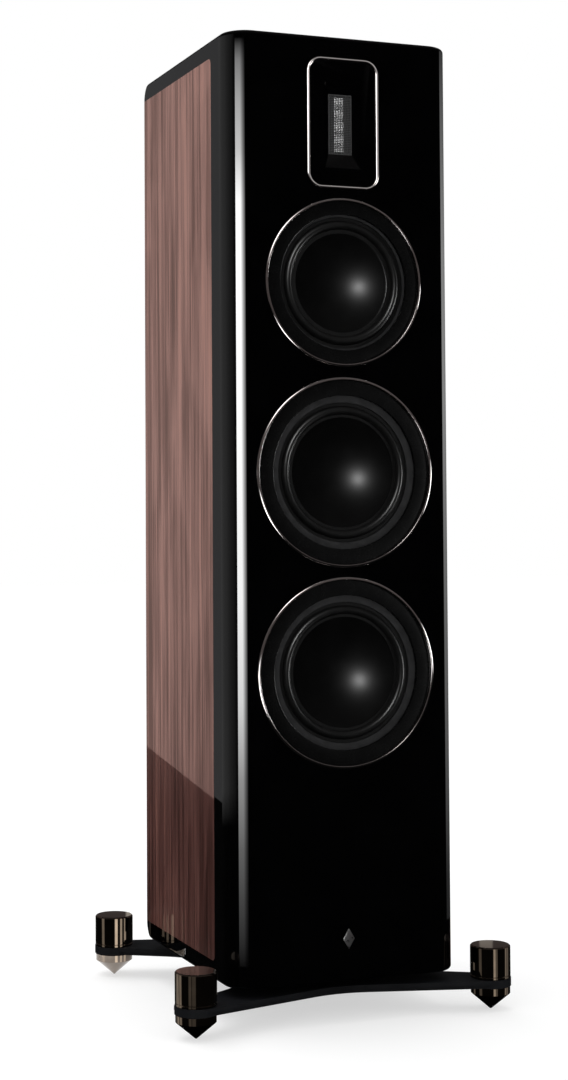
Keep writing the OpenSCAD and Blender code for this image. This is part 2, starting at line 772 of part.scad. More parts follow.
// knurled cap on the post
module post_cap(side) at_post(side) difference() {
  union() {
    rod(8, cap_skirt_z, 0);
    difference() {
      rod(9.5, 0, 18);
      for (i = [0:17]) rotate(i * 20) translate([10.3, 0, 0]) rod(1.3, -1, 19, $fn = 24);
    }
  }
  rod(4.05, -5, 16.3);
  rod(2.8, 10, 20);
}

module binding_post_cap_positive() color("red") post_cap(-1);
module binding_post_cap_negative() color("black") post_cap(1);
module binding_post_washer_positive() color("gold") post_washer(-1);
module binding_post_washer_negative() color("gold") post_washer(1);

// ---------- electrics ----------

standoff_h = 8;
board_z0 = inner_z0 + standoff_h;
board_z1 = board_z0 + 2;

module crossover_board() color("darkgreen") {
  box([-75, 75], [-70, 70], [board_z0, board_z1]);
  at_corners(68, 62) rod(4, inner_z0, board_z0);
}

// inductors, [x, y, outer radius, height]
INDUCTORS = [[-48, 42, 24, 26], [44, -40, 22, 22], [48, 44, 18, 18]];
capacitor_r = 9;

// wound inductors, film capacitors and resistors, all on the board
module crossover_parts() color("saddlebrown") translate([0, 0, board_z1]) {
  for (coil = INDUCTORS) translate([coil[0], coil[1], 0]) ring(9, coil[2], 0, coil[3]);
  for (i = [0:2]) translate([-64 + i * 4, -14 - i * 22, capacitor_r])
    rotate([0, 90, 0]) cylinder(r = capacitor_r, h = 42);
  for (i = [0:3]) translate([i * 11, 0, 0]) box([-20, -12], [8, 58], [0, 8]);
}

cable_r = 1.8;
elbow_r = 2.3;

// one length of cable, turned from +Z by angles, with a rounded elbow at its start
module cable_run(start, angles, length) translate(start) {
  sphere(elbow_r);
  rotate(angles) cylinder(r = cable_r, h = length);
}

// up from the crossover board at x, forward to end_d behind the front face,
// then across to end_x
module driver_cable(x, end_z, end_d, end_x) {
  riser_y = front_y + 222;
  end_y = front_y + end_d;
  translate([x, riser_y, 0]) rod(cable_r, board_z1, end_z);
  translate([x, riser_y, end_z]) sphere(elbow_r);
  cable_run([x, end_y, end_z], [-90, 0, 0], riser_y - end_y);
  cable_run([end_x, end_y, end_z], [0, 90, 0], x - end_x);
}

module internal_cables() color("crimson") {
  driver_cable(x = 68, end_z = lower_woofer_z + 12, end_d = 70, end_x = 60);
  driver_cable(x = 56, end_z = tweeter_z, end_d = 60, end_x = 20);
  driver_cable(x = -68, end_z = upper_woofer_z + 12, end_d = 70, end_x = -72);
  driver_cable(x = chamber_cable_x, end_z = midrange_z, end_d = 76, end_x = 50);
}

front_baffle();
cabinet_top();
cabinet_bottom();
cabinet_side_left();
cabinet_side_right();
cabinet_rear();
veneer_left();
veneer_right();
cabinet_braces();
midrange_chamber();
damping_wadding();
front_badge();
plinth();
plinth_spacers();
plinth_bolts();
foot_knob_front_left();
foot_knob_front_right();
foot_knob_rear_left();
foot_knob_rear_right();
foot_spike_front_left();
foot_spike_front_right();
foot_spike_rear_left();
foot_spike_rear_right();
tweeter_trim();
tweeter_faceplate();
tweeter_grille();
tweeter_ribbon();
tweeter_magnets();
tweeter_housing();
midrange_trim_ring();
midrange_basket();
midrange_surround();
midrange_cone();
midrange_voice_coil();
midrange_spider();
midrange_motor();
woofer_trim_rings();
woofer_baskets();
woofer_motors();
driver_bezels();
upper_woofer_cone();
upper_woofer_surround();
upper_woofer_voice_coil();
upper_woofer_spider();
lower_woofer_cone();
lower_woofer_surround();
lower_woofer_voice_coil();
lower_woofer_spider();
mounting_screws();
reflex_ports();
terminal_plate();
binding_post_stems();
binding_post_cap_positive();
binding_post_cap_negative();
binding_post_washer_positive();
binding_post_washer_negative();
crossover_board();
crossover_parts();
internal_cables();
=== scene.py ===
"""Floor-standing loudspeaker with two woofers, a midrange and a ribbon tweeter, in a studio.

It stands on the floor at z = 0 and faces -Y; its left side is at -X. Pieces are worked out
in millimetres and become metres in raw_mesh; the studio is laid out in metres.
"""

import bpy
import bmesh
import random
from contextlib import contextmanager
from math import atan2, copysign, cos, hypot, pi, radians, sin, sqrt, tan
from types import SimpleNamespace
from mathutils import Matrix, Vector
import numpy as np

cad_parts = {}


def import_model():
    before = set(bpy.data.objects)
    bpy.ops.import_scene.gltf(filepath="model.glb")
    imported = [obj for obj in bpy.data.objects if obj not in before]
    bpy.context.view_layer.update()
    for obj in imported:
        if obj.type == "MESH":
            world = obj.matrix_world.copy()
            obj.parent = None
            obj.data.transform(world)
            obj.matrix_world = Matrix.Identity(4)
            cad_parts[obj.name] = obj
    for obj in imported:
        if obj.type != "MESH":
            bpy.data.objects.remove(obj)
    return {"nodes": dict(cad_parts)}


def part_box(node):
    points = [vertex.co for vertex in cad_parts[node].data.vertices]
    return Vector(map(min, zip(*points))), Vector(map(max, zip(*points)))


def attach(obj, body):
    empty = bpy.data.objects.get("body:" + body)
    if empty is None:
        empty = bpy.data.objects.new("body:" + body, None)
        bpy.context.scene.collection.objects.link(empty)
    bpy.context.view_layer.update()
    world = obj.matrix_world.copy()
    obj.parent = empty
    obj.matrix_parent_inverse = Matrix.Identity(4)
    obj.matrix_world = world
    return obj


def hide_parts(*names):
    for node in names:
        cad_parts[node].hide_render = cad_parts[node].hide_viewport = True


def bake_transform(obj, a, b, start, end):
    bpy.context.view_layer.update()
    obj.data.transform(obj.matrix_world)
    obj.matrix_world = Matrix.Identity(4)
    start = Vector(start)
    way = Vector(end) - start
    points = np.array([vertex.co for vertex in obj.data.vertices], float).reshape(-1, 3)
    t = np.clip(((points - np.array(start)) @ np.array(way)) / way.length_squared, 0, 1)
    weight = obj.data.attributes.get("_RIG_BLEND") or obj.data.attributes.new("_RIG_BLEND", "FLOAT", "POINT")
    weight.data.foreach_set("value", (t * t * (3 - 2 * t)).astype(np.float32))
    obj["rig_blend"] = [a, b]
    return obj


cad_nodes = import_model()["nodes"]


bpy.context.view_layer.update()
MM = 0.001      # one millimetre in metres


# ---------------------------------------------------------------- places read from the frame


def box_mm(node):
    low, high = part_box(node)
    return [c / MM for c in low], [c / MM for c in high]


def centre_mm(node):
    return [(low + high) / 2 for low, high in zip(*box_mm(node))]


(_, FRONT_Y, BOTTOM_Z), (HALF_WIDTH, SEAM_Y, TOP_Z) = box_mm("front_baffle")
(_, PANEL_Y0, INNER_Z0), (_, REAR_Y, INNER_Z1) = box_mm("veneer_left")
(_, INNER_REAR_Y, _), (INNER_X, _, _) = box_mm("cabinet_rear")
(_, _, PLINTH_Z0), (_, _, PLINTH_Z1) = box_mm("plinth")

LOWER_Z = centre_mm("lower_woofer_cone")[2]
UPPER_Z = centre_mm("upper_woofer_cone")[2]
MIDRANGE_Z = centre_mm("midrange_cone")[2]
TWEETER_Z = centre_mm("tweeter_trim")[2]
TERMINAL_Z = centre_mm("terminal_plate")[2]
FEET = ("front_left", "front_right", "rear_left", "rear_right")

# ---------------------------------------------------------------- sizes (mm)

# The roll is the half-round surround; the dish is the hollow cone inside it.
WOOFER = SimpleNamespace(
    trim_radius=100, trim_width=3.2, bezel_inner=80.8, roll_outer=70, roll_inner=61,
    cone_rim=60.5, dish_radius=58, dish_depth=23, former_radius=19.3, cage_radius=88.5,
    back_radius=56, spider_depth=44)
MIDRANGE = SimpleNamespace(
    trim_radius=89, trim_width=3.0, bezel_inner=71.8, roll_outer=66, roll_inner=56.6,
    cone_rim=56, dish_radius=52.6, dish_depth=18, former_radius=15.3, cage_radius=78.5,
    back_radius=47, spider_depth=35)
DRIVERS = (("lower_woofer", LOWER_Z, WOOFER), ("upper_woofer", UPPER_Z, WOOFER),
           ("midrange", MIDRANGE_Z, MIDRANGE))
# depths behind the front face
RIM_DEPTH, FLANGE_DEPTH, SEAT_DEPTH = 7.5, 4.2, 6.8

# cabinet edge radii: upright front edges, ends of the rear face, all other edges
FRONT_RADIUS, REAR_RADIUS, SMALL_RADIUS = 28.0, 19.5, 4.0
FLAT_X = HALF_WIDTH - FRONT_RADIUS      # the front is flat between -FLAT_X and FLAT_X
VENEER = 3
GAP = 0.1                               # between a part and its recess
CLEAR = 2                               # how far cutters stand out of the cabinet
OUTER_X = HALF_WIDTH + CLEAR

TWEETER_WIDTH, TWEETER_HEIGHT, TWEETER_CORNER = 82, 139, 16
TWEETER_BAND, TWEETER_CREST, TWEETER_SEAT = 3.2, 1.35, 4.2
TWEETER_BACK = (65.8, 115.8)            # block behind the faceplate, width and height
WINDOW_WIDTH, WINDOW_HEIGHT = 27, 64

PORT_BORE, PORT_TUBE, PORT_FLANGE = 34, 37, 48      # radii
PORT_SEAT, PORT_LIP, PORT_LENGTH = 3, 2, 150
REAR_CUT = 30                           # depth of the openings in the rear panel
KNOB_RADIUS = 21.5

# ---------------------------------------------------------------- shader node helpers


def connect(socket, value):
    if isinstance(value, bpy.types.NodeSocket):
        socket.id_data.links.new(value, socket)
    else:
        socket.default_value = value


def feed(node, *inputs, **named):
    """Sets a node's properties and inputs by name (_ for a space), then inputs by order."""
    for key, value in named.items():
        label = key.replace("_", " ")
        if label in node.inputs.keys():
            connect(node.inputs[label], value)
        else:
            setattr(node, key, value)
    for socket, value in zip(node.inputs, inputs):
        connect(socket, value)
    return node


def add_node(tree, kind, *inputs, **named):
    return feed(tree.nodes.new("ShaderNode" + kind), *inputs, **named)


def arithmetic(tree, operation, *values):
    return add_node(tree, "Math", *values, operation=operation).outputs[0]


def vector_arithmetic(tree, operation, *values):
    return add_node(tree, "VectorMath", *values, operation=operation)


def mix_shader(tree, factor, first, second):
    return add_node(tree, "MixShader", factor, first, second).outputs[0]


def coords(tree, stretch=(1, 1, 1)):
    position = add_node(tree, "TexCoord").outputs["Object"]
    return add_node(tree, "Mapping", Vector=position, Scale=stretch).outputs["Vector"]


def noise(tree, vector, scale, detail=4.0, roughness=0.5, distortion=0.0):
    node = add_node(tree, "TexNoise", Vector=vector, Scale=scale, Detail=detail,
                    Roughness=roughness, Distortion=distortion)
    return node.outputs["Fac"]


def remap(tree, value, source, target):
    node = add_node(tree, "MapRange", Value=value, From_Min=source[0], From_Max=source[1],
                    To_Min=target[0], To_Max=target[1])
    return node.outputs["Result"]


def colour_ramp(tree, value, stops):
    node = add_node(tree, "ValToRGB", Fac=value)
    elements = node.color_ramp.elements
    while len(elements) < len(stops):
        elements.new(0.5)
    for element, (position, colour) in zip(elements, stops):
        element.position = position
        element.color = (*colour, 1)
    return node.outputs["Color"]


# ---------------------------------------------------------------- materials

NOISE_SPAN = (0.3, 0.7)     # the part of a noise's range that carries a finish's variation


def new_material(name):
    material = bpy.data.materials.new(name)
    material.use_nodes = True
    tree = material.node_tree
    return material, tree, tree.nodes["Principled BSDF"]


def blank_tree(owner, output_kind="OutputMaterial"):
    owner.use_nodes = True
    tree = owner.node_tree
    tree.nodes.clear()
    return tree, add_node(tree, output_kind)


def rgb(colour):
    return colour if isinstance(colour, tuple) else (colour,) * 3


def surface(name, dark, light, metallic, roughness, scale, specular=0.5, coat=0.0,
            bump=None, bump_distance=0.0003, stretch=(1, 1, 1)):
    """A finish whose colour and roughness both wander, with an optional fine bump."""
    material, tree, shader = new_material(name)
    vector = coords(tree, stretch)
    pattern = noise(tree, vector, scale)
    low, high = NOISE_SPAN
    feed(shader, Base_Color=colour_ramp(tree, pattern, [(low, rgb(dark)), (high, rgb(light))]),
         Roughness=remap(tree, pattern, NOISE_SPAN, roughness), Metallic=metallic,
         Specular_IOR_Level=specular, Coat_Weight=coat, Coat_Roughness=0.03)
    if bump:
        strength, bump_scale = bump
        node = add_node(tree, "Bump", Height=noise(tree, vector, bump_scale, detail=2.0),
                        Strength=strength, Distance=bump_distance)
        feed(shader, Normal=node.outputs["Normal"])
    return material


# name: dark colour, light colour (one number is a grey), metallic, roughness range,
# pattern scale, and other arguments of surface; bump is (strength, scale)
FINISHES = {
    "lacquer": ((0.0002, 0.0002, 0.00025), (0.0005, 0.0005, 0.0006), 0, (0.008, 0.02), 30, {}),
    "trim_metal": ((0.66, 0.62, 0.61), (0.72, 0.69, 0.68), 1, (0.06, 0.09), 50, {}),
    "badge_metal": (0.5, 0.62, 1, (0.25, 0.35), 300, dict(bump=(0.1, 3000))),
    "satin_plastic": ((0.0008, 0.0008, 0.0009), (0.0013, 0.0013, 0.0014), 0, (0.26, 0.28), 90,
                      dict(bump=(0.02, 2600), specular=0.35)),
    # the bezels' copy of satin_plastic, its colours darkened about 2.5 times: painted shade
    "satin_plastic_painted_shade": ((0.00032, 0.00032, 0.00036), (0.00052, 0.00052, 0.00056), 0,
                            (0.26, 0.28), 90, dict(bump=(0.02, 2600), specular=0.35)),
    "plinth_paint": ((0.0055, 0.006, 0.0075), (0.0085, 0.009, 0.011), 0, (0.34, 0.44), 40,
                     dict(bump=(0.14, 2200))),
    "cone_skin": (0.0006, 0.0010, 0, (0.33, 0.345), 60, dict(bump=(0.03, 1800), specular=0.18)),
    "surround_rubber": (0.0010, 0.0016, 0, (0.32, 0.35), 120, dict(bump=(0.015, 2500))),
    "dark_chrome": ((0.13, 0.108, 0.09), (0.18, 0.15, 0.125), 1, (0.03, 0.07), 70, {}),
    "grille_steel": (0.05, 0.075, 0.3, (0.42, 0.52), 400, {}),
    "ribbon_foil": (0.7, 0.85, 1, (0.22, 0.32), 300, dict(bump=(0.1, 1500))),
    "zinc_steel": ((0.35, 0.35, 0.36), 0.5, 1, (0.35, 0.5), 120, {}),
    "powder_coat": ((0.015, 0.015, 0.016), (0.024, 0.024, 0.025), 0.1, (0.5, 0.62), 150,
                    dict(bump=(0.3, 1500))),
    "copper_winding": ((0.45, 0.17, 0.06), (0.65, 0.28, 0.12), 1, (0.25, 0.35), 200,
                       dict(bump=(0.4, 900), stretch=(1, 30, 1))),
    "gold_plate": ((0.75, 0.5, 0.16), (0.85, 0.6, 0.22), 1, (0.12, 0.2), 150, {}),
    "cap_red": ((0.30, 0.008, 0.008), (0.4, 0.014, 0.012), 0, (0.15, 0.22), 120, dict(coat=0.5)),
    "cap_black": (0.008, 0.014, 0, (0.15, 0.22), 120, dict(coat=0.5)),
    "dark_steel": (0.06, 0.1, 1, (0.3, 0.45), 300, {}),
    "circuit_board": ((0.01, 0.07, 0.025), (0.016, 0.1, 0.04), 0, (0.35, 0.45), 200,
                      dict(bump=(0.1, 600))),
    "crossover_parts": ((0.3, 0.12, 0.05), (0.42, 0.18, 0.08), 0.6, (0.3, 0.45), 150,
                        dict(bump=(0.4, 800))),
    "cable_jacket": ((0.25, 0.015, 0.015), (0.33, 0.02, 0.02), 0, (0.4, 0.5), 200,
                     dict(bump=(0.1, 900))),
    "fibreboard": ((0.30, 0.20, 0.12), (0.44, 0.31, 0.19), 0, (0.75, 0.9), 800,
                   dict(bump=(0.4, 1500))),
    "wadding_fibre": ((0.6, 0.6, 0.57), (0.8, 0.8, 0.77), 0, (0.9, 1.0), 200,
                      dict(bump=(0.9, 500), bump_distance=0.002)),
    "spider_cloth": ((0.28, 0.16, 0.03), (0.40, 0.24, 0.06), 0, (0.8, 0.95), 300,
                     dict(bump=(0.5, 1800))),
}


def walnut():
    """Walnut under a gloss coat; the grain runs upright, so z is stretched out."""
    material, tree, shader = new_material("walnut_gloss")

    def grain(z_stretch, **settings):
        return noise(tree, coords(tree, (1, 1, z_stretch)), **settings)

    bands = grain(0.07, scale=52, detail=2.0, distortion=0.5)
    lines = grain(0.012, scale=190, detail=3.0, roughness=0.65, distortion=0.1)
    streaks = grain(0.010, scale=430, detail=2.0, roughness=0.6)
    pores = grain(0.03, scale=900, detail=2.0)
    drift = grain(0.35, scale=11, detail=3.0, roughness=0.55, distortion=0.8)

    figure = 0.0
    for layer, weight in ((bands, 0.26), (lines, 0.34), (streaks, 0.22), (drift, 0.18)):
        figure = arithmetic(tree, "MULTIPLY_ADD", layer, weight, figure)
    colour = colour_ramp(tree, figure, [
        (0.41, (0.026, 0.008, 0.006)), (0.46, (0.055, 0.019, 0.015)),
        (0.50, (0.084, 0.032, 0.0266)), (0.54, (0.122, 0.050, 0.041)),
        (0.59, (0.200, 0.085, 0.065))])

    darkened = add_node(tree, "Mix", data_type="RGBA", blend_type="MULTIPLY")
    # inputs 6 and 7 and output 2 are the colour sockets of this node
    connect(darkened.inputs[0], remap(tree, pores, (0.56, 0.66), (0.0, 0.4)))
    connect(darkened.inputs[6], colour)
    connect(darkened.inputs[7], (0.4, 0.32, 0.28, 1))
    feed(shader, Base_Color=darkened.outputs[2], Roughness=0.35, Specular_IOR_Level=0.3,
         Coat_Weight=remap(tree, figure, (0.452, 0.548), (0.46, 1.0)), Coat_IOR=1.6,
         Coat_Roughness=remap(tree, noise(tree, coords(tree), 25), NOISE_SPAN, (0.012, 0.03)))
    return material


MATERIALS = {name: surface(name, *row, **extras) for name, (*row, extras) in FINISHES.items()}
MATERIALS["walnut_gloss"] = walnut()

# ---------------------------------------------------------------- mesh helpers


@contextmanager
def editing(mesh):
    """Gives an editable copy and writes it back with its faces turned outward."""
    work = bmesh.new()
    work.from_mesh(mesh)
    yield work
    bmesh.ops.recalc_face_normals(work, faces=work.faces)
    work.to_mesh(mesh)
    work.free()


def link_object(name, data):
    obj = bpy.data.objects.new(name, data)
    bpy.context.scene.collection.objects.link(obj)
    return obj


def piece(name, mesh, material, node, body="cabinet", angle=32, weighted=False):
    """Makes the finished object that stands in for a CAD node."""
    with editing(mesh) as work:
        bmesh.ops.remove_doubles(work, verts=work.verts, dist=1e-6)
        bmesh.ops.dissolve_degenerate(work, edges=work.edges, dist=1e-7)
    mesh.materials.clear()
    mesh.materials.append(MATERIALS[material])
    mesh.shade_smooth()
    mesh.set_sharp_from_angle(angle=radians(angle))
    obj = link_object(name, mesh)
    if weighted:
        modifier = obj.modifiers.new("weighted", "WEIGHTED_NORMAL")
        modifier.keep_sharp = True
        modifier.weight = 100
        modifier.mode = "FACE_AREA"
    if body:
        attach(obj, body)
    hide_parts(node)
    return obj


def raw_mesh(verts, faces):
    mesh = bpy.data.meshes.new("m")
    mesh.from_pydata([[c * MM for c in vert] for vert in verts], [], faces)
    mesh.validate()
    return mesh


# Placers turn a local (x, y, depth) into a point: y runs downward on the front and the rear.
def front_at(z):
    return lambda x, y, depth: (x, FRONT_Y + depth, z - y)


def rear_at(z):
    return lambda x, y, out: (x, REAR_Y + out, z - y)


def up_at(x0, y0, z0):
    return lambda x, y, height: (x0 + x, y0 + y, z0 + height)


def fillet(corners, segments=6):
    """Closed outline of (x, y, radius): each corner with a radius is rounded."""
    outline = []
    for i, (x, y, radius) in enumerate(corners):
        corner = Vector((x, y))
        back = Vector(corners[i - 1][:2]) - corner
        ahead = Vector(corners[(i + 1) % len(corners)][:2]) - corner
        back_length, ahead_length = back.length, ahead.length
        if radius <= 0 or back_length < 1e-9 or ahead_length < 1e-9:
            outline.append((x, y))
            continue
        back, ahead = back / back_length, ahead / ahead_length
        angle = back.angle(ahead)
        if angle > pi - 0.02 or angle < 0.02:
            outline.append((x, y))
            continue
        # the rounding takes at most 48% of either side
        reach = min(radius / tan(angle / 2), back_length * 0.48, ahead_length * 0.48)
        radius = reach * tan(angle / 2)
        centre = corner + (back + ahead).normalized() * (radius / sin(angle / 2))
        first, last = corner + back * reach - centre, corner + ahead * reach - centre
        start = atan2(first.y, first.x)
        turn = (atan2(last.y, last.x) - start + pi) % (2 * pi) - pi
        for k in range(segments + 1):
            bearing = start + turn * k / segments
            outline.append((centre.x + radius * cos(bearing), centre.y + radius * sin(bearing)))
    return outline


def rounded_rect(width, height, radius, segments=16):
    x, y = width / 2, height / 2
    return fillet([(x, y, radius), (-x, y, radius), (-x, -y, radius), (x, -y, radius)], segments)


def sharp_rect(width, height):
    return rounded_rect(width, height, 0.01, 1)


def quarter_arc(x, y, radius, start, steps):
    angles = [start + k * pi / (2 * steps) for k in range(steps + 1)]
    return [(x + radius * cos(a), y + radius * sin(a)) for a in angles]


def lathe(profile, place, segments=192):
    """Turns a closed (radius, depth) profile about the placer's axis."""
    count = len(profile)
    verts, faces = [], []
    for i in range(segments):
        angle = 2 * pi * i / segments
        verts += [place(r * cos(angle), r * sin(angle), depth) for r, depth in profile]
        j = (i + 1) % segments
        for k in range(count):
            after = (k + 1) % count
            if profile[k][0] < 1e-6 and profile[after][0] < 1e-6:
                continue
            faces.append((i * count + k, j * count + k, j * count + after, i * count + after))
    return raw_mesh(verts, faces)


def box_mesh(x0, x1, y0, y1, z0, z1):
    verts = [(x, y, z) for x in (x0, x1) for y in (y0, y1) for z in (z0, z1)]
    return raw_mesh(verts, [(0, 1, 3, 2), (4, 6, 7, 5), (0, 4, 5, 1),
                            (2, 3, 7, 6), (0, 2, 6, 4), (1, 5, 7, 3)])


def prism(outline, place, depth0, depth1):
    count = len(outline)
    verts = [place(x, y, depth) for depth in (depth0, depth1) for x, y in outline]
    faces = [tuple(range(count)), tuple(range(2 * count - 1, count - 1, -1))]
    faces += [(i, count + i, count + (i + 1) % count, (i + 1) % count) for i in range(count)]
    return raw_mesh(verts, faces)


def disc(radius, place, depth0, depth1, segments=256):
    angles = [2 * pi * i / segments for i in range(segments)]
    return prism([(radius * cos(a), radius * sin(a)) for a in angles], place, depth0, depth1)


def join(meshes):
    work = bmesh.new()
    for mesh in meshes:
        work.from_mesh(mesh)
    joined = bpy.data.meshes.new("joined")
    work.to_mesh(joined)
    work.free()
    return joined


def baked(obj):
    """The mesh of an object with its modifiers applied; the object goes."""
    bpy.context.view_layer.update()
    depsgraph = bpy.context.evaluated_depsgraph_get()
    mesh = bpy.data.meshes.new_from_object(obj.evaluated_get(depsgraph))
    bpy.data.objects.remove(obj)
    return mesh


def boolean(mesh, cutters, operation):
    """Applies the cutters one after another with the exact solver."""
    for cutter in cutters:
        with editing(mesh):
            pass    # only turns the faces outward
        with editing(cutter) as work:
            bmesh.ops.remove_doubles(work, verts=work.verts, dist=1e-6)
        target, tool = link_object("temp", mesh), link_object("temp", cutter)
        modifier = target.modifiers.new("b", "BOOLEAN")
        modifier.operation = operation
        modifier.solver = "EXACT"
        modifier.object = tool
        mesh = baked(target)
        bpy.data.objects.remove(tool)
    return mesh


def from_cad(node):
    """A CAD node's own mesh, welded and with its flat faces merged."""
    mesh = cad_nodes[node].data.copy()
    with editing(mesh) as work:
        bmesh.ops.remove_doubles(work, verts=work.verts, dist=2e-6)
        bmesh.ops.dissolve_limit(work, angle_limit=radians(0.4), verts=work.verts,
                                 edges=work.edges)
    return mesh


def bevelled(mesh, width, segments=3, angle=38):
    obj = link_object("temp", mesh)
    modifier = obj.modifiers.new("bevel", "BEVEL")
    modifier.width = width * MM
    modifier.segments = segments
    modifier.limit_method = "ANGLE"
    modifier.angle_limit = radians(angle)
    modifier.use_clamp_overlap = True
    return baked(obj)


# ---------------------------------------------------------------- cabinet


def rounding_inset(radius, depth):
    """How far a rounded edge draws in, at a depth below its end face."""
    if depth >= radius:
        return 0.0
    return radius - sqrt(max(radius ** 2 - (radius - depth) ** 2, 0))


def cabinet_body():
    """The whole outside of the cabinet as stacked outlines, with rounded edges."""
    depths = {round(radius * (1 - cos(k * pi / (2 * steps))), 5)
              for radius, steps in ((SMALL_RADIUS, 8), (REAR_RADIUS, 16))
              for k in range(steps + 1)}
    depths = sorted(depths)
    levels = [(BOTTOM_Z + d, d) for d in depths] + [(TOP_Z - d, d) for d in reversed(depths)]
    verts = []
    for z, depth in levels:
        inset = rounding_inset(SMALL_RADIUS, depth)
        front_radius = FRONT_RADIUS - inset
        small_radius = SMALL_RADIUS - min(inset, SMALL_RADIUS - 0.02)
        front_y = FRONT_Y + FRONT_RADIUS
        small_x = HALF_WIDTH - SMALL_RADIUS
        rear_y = REAR_Y - rounding_inset(REAR_RADIUS, depth) - SMALL_RADIUS
        outline = (quarter_arc(-FLAT_X, front_y, front_radius, pi, 32)
                   + quarter_arc(FLAT_X, front_y, front_radius, 1.5 * pi, 32)
                   + quarter_arc(small_x, rear_y, small_radius, 0, 6)
                   + quarter_arc(-small_x, rear_y, small_radius, pi / 2, 6))
        count = len(outline)
        verts += [(x, y, z) for x, y in outline]
    faces = []
    for i in range(len(levels) - 1):
        low, high = i * count, (i + 1) * count
        for k in range(count):
            after = (k + 1) % count
            faces.append((low + k, low + after, high + after, high + k))
    faces.append(tuple(range(count)))
    faces.append(tuple(range(len(verts) - 1, len(verts) - count - 1, -1)))
    return raw_mesh(verts, faces)


BODY = cabinet_body()


def body_part(region):
    return boolean(BODY.copy(), [region], "INTERSECT")


def baffle_part(x0, x1):
    return body_part(box_mesh(x0, x1, FRONT_Y - CLEAR, SEAM_Y, BOTTOM_Z - CLEAR, TOP_Z + CLEAR))


def end_part(z0, z1):
    return body_part(box_mesh(-OUTER_X, OUTER_X, SEAM_Y, REAR_Y + CLEAR, z0, z1))


def lacquered(name, mesh, node):
    piece(name, mesh, "lacquer", node, weighted=True)


def tweeter_outline(inset, segments=16):
    return rounded_rect(TWEETER_WIDTH - 2 * inset, TWEETER_HEIGHT - 2 * inset,
                        TWEETER_CORNER - inset, segments)


def baffle():
    """Flat middle of the front, with openings for the drivers and the tweeter."""
    ahead, through = -5, 40     # depths where the cutters start and end
    cutters = []
    for _, z, driver in DRIVERS:
        cutters += [disc(driver.trim_radius + GAP, front_at(z), ahead, SEAT_DEPTH),
                    disc(driver.cage_radius + 1, front_at(z), SEAT_DEPTH - 1, through)]
    back_width, back_height = TWEETER_BACK
    at_tweeter = front_at(TWEETER_Z)
    cutters += [prism(tweeter_outline(-GAP), at_tweeter, ahead, TWEETER_SEAT),
                prism(sharp_rect(back_width + 0.6, back_height + 0.6), at_tweeter, 3, through)]
    lacquered("baffle_lacquered",
              boolean(baffle_part(-FLAT_X, FLAT_X), cutters, "DIFFERENCE"), "front_baffle")


def side(sign, name):
    """A side wall, and the walnut panel let into it; sign is the side's direction along X."""
    rear = REAR_Y + CLEAR
    outline = fillet([(PANEL_Y0, INNER_Z0, 7), (rear, INNER_Z0, 0),
                      (rear, INNER_Z1, 0), (PANEL_Y0, INNER_Z1, 7)], 10)

    def panel_block():
        return prism(outline, lambda y, z, out: (sign * out, y, z), HALF_WIDTH - VENEER, OUTER_X)

    piece("walnut_panel_" + name, body_part(panel_block()), "walnut_gloss", "veneer_" + name,
          weighted=True)
    x0, x1 = sorted((sign * INNER_X, sign * OUTER_X))
    wall = body_part(box_mesh(x0, x1, SEAM_Y, rear, INNER_Z0, INNER_Z1))
    lacquered("side_lacquered_" + name, boolean(wall, [panel_block()], "DIFFERENCE"),
              "cabinet_side_" + name)


def rear_panel():
    """Rear wall with openings for the ports and the terminal plate."""
    cutters = []
    for z in (LOWER_Z, UPPER_Z):
        cutters += [disc(PORT_TUBE + GAP, rear_at(z), -REAR_CUT, CLEAR),
                    disc(PORT_FLANGE + GAP, rear_at(z), -PORT_SEAT, CLEAR)]
    cutters += [prism(rounded_rect(110.2, 90.2, 8.1), rear_at(TERMINAL_Z), -4, CLEAR),
                box_mesh(-42, 42, REAR_Y - REAR_CUT, REAR_Y - 3, TERMINAL_Z - 32,
                         TERMINAL_Z + 32)]
    wall = box_mesh(-INNER_X, INNER_X, INNER_REAR_Y, REAR_Y, INNER_Z0, INNER_Z1)
    lacquered("rear_lacquered", boolean(wall, cutters, "DIFFERENCE"), "cabinet_rear")


baffle()
lacquered("baffle_edge_left", baffle_part(-OUTER_X, -FLAT_X), "front_baffle")
lacquered("baffle_edge_right", baffle_part(FLAT_X, OUTER_X), "front_baffle")
lacquered("top_lacquered", end_part(INNER_Z1, TOP_Z + CLEAR), "cabinet_top")
lacquered("bottom_lacquered", end_part(BOTTOM_Z - CLEAR, INNER_Z0), "cabinet_bottom")
side(-1, "left")
side(1, "right")
rear_panel()

# ---------------------------------------------------------------- drivers
# Profiles are closed lists of (radius, depth behind the front face).


def trim_profile(driver):
    """Rounded section whose crest sits near the inner edge, so the broad face looks outward."""
    inner, outer = driver.trim_radius - driver.trim_width, driver.trim_radius
    height, crest = driver.trim_width / 2, 0.8
    outside = [(inner + crest + (outer - inner - crest) * cos(a), -height * sin(a))
               for a in [k * pi / 32 for k in range(17)]]
    inside = [(inner + crest - crest * sin(a), -height * cos(a))
              for a in [k * pi / 20 for k in range(1, 11)]]
    return outside + inside + [(inner, SEAT_DEPTH), (outer, SEAT_DEPTH)]


def bezel_profile(driver):
    """Flat ring inside the trim, with a lip down to the driver's flange."""
    inner = driver.bezel_inner
    outer = driver.trim_radius - driver.trim_width - GAP
    lip = inner + 1.2
    return fillet([(inner, 0.6, 0.5), (outer, 0.6, 0.25), (outer, 1.8, 0), (lip, 1.8, 0),
                   (lip, FLANGE_DEPTH, 0), (inner, FLANGE_DEPTH, 0)])


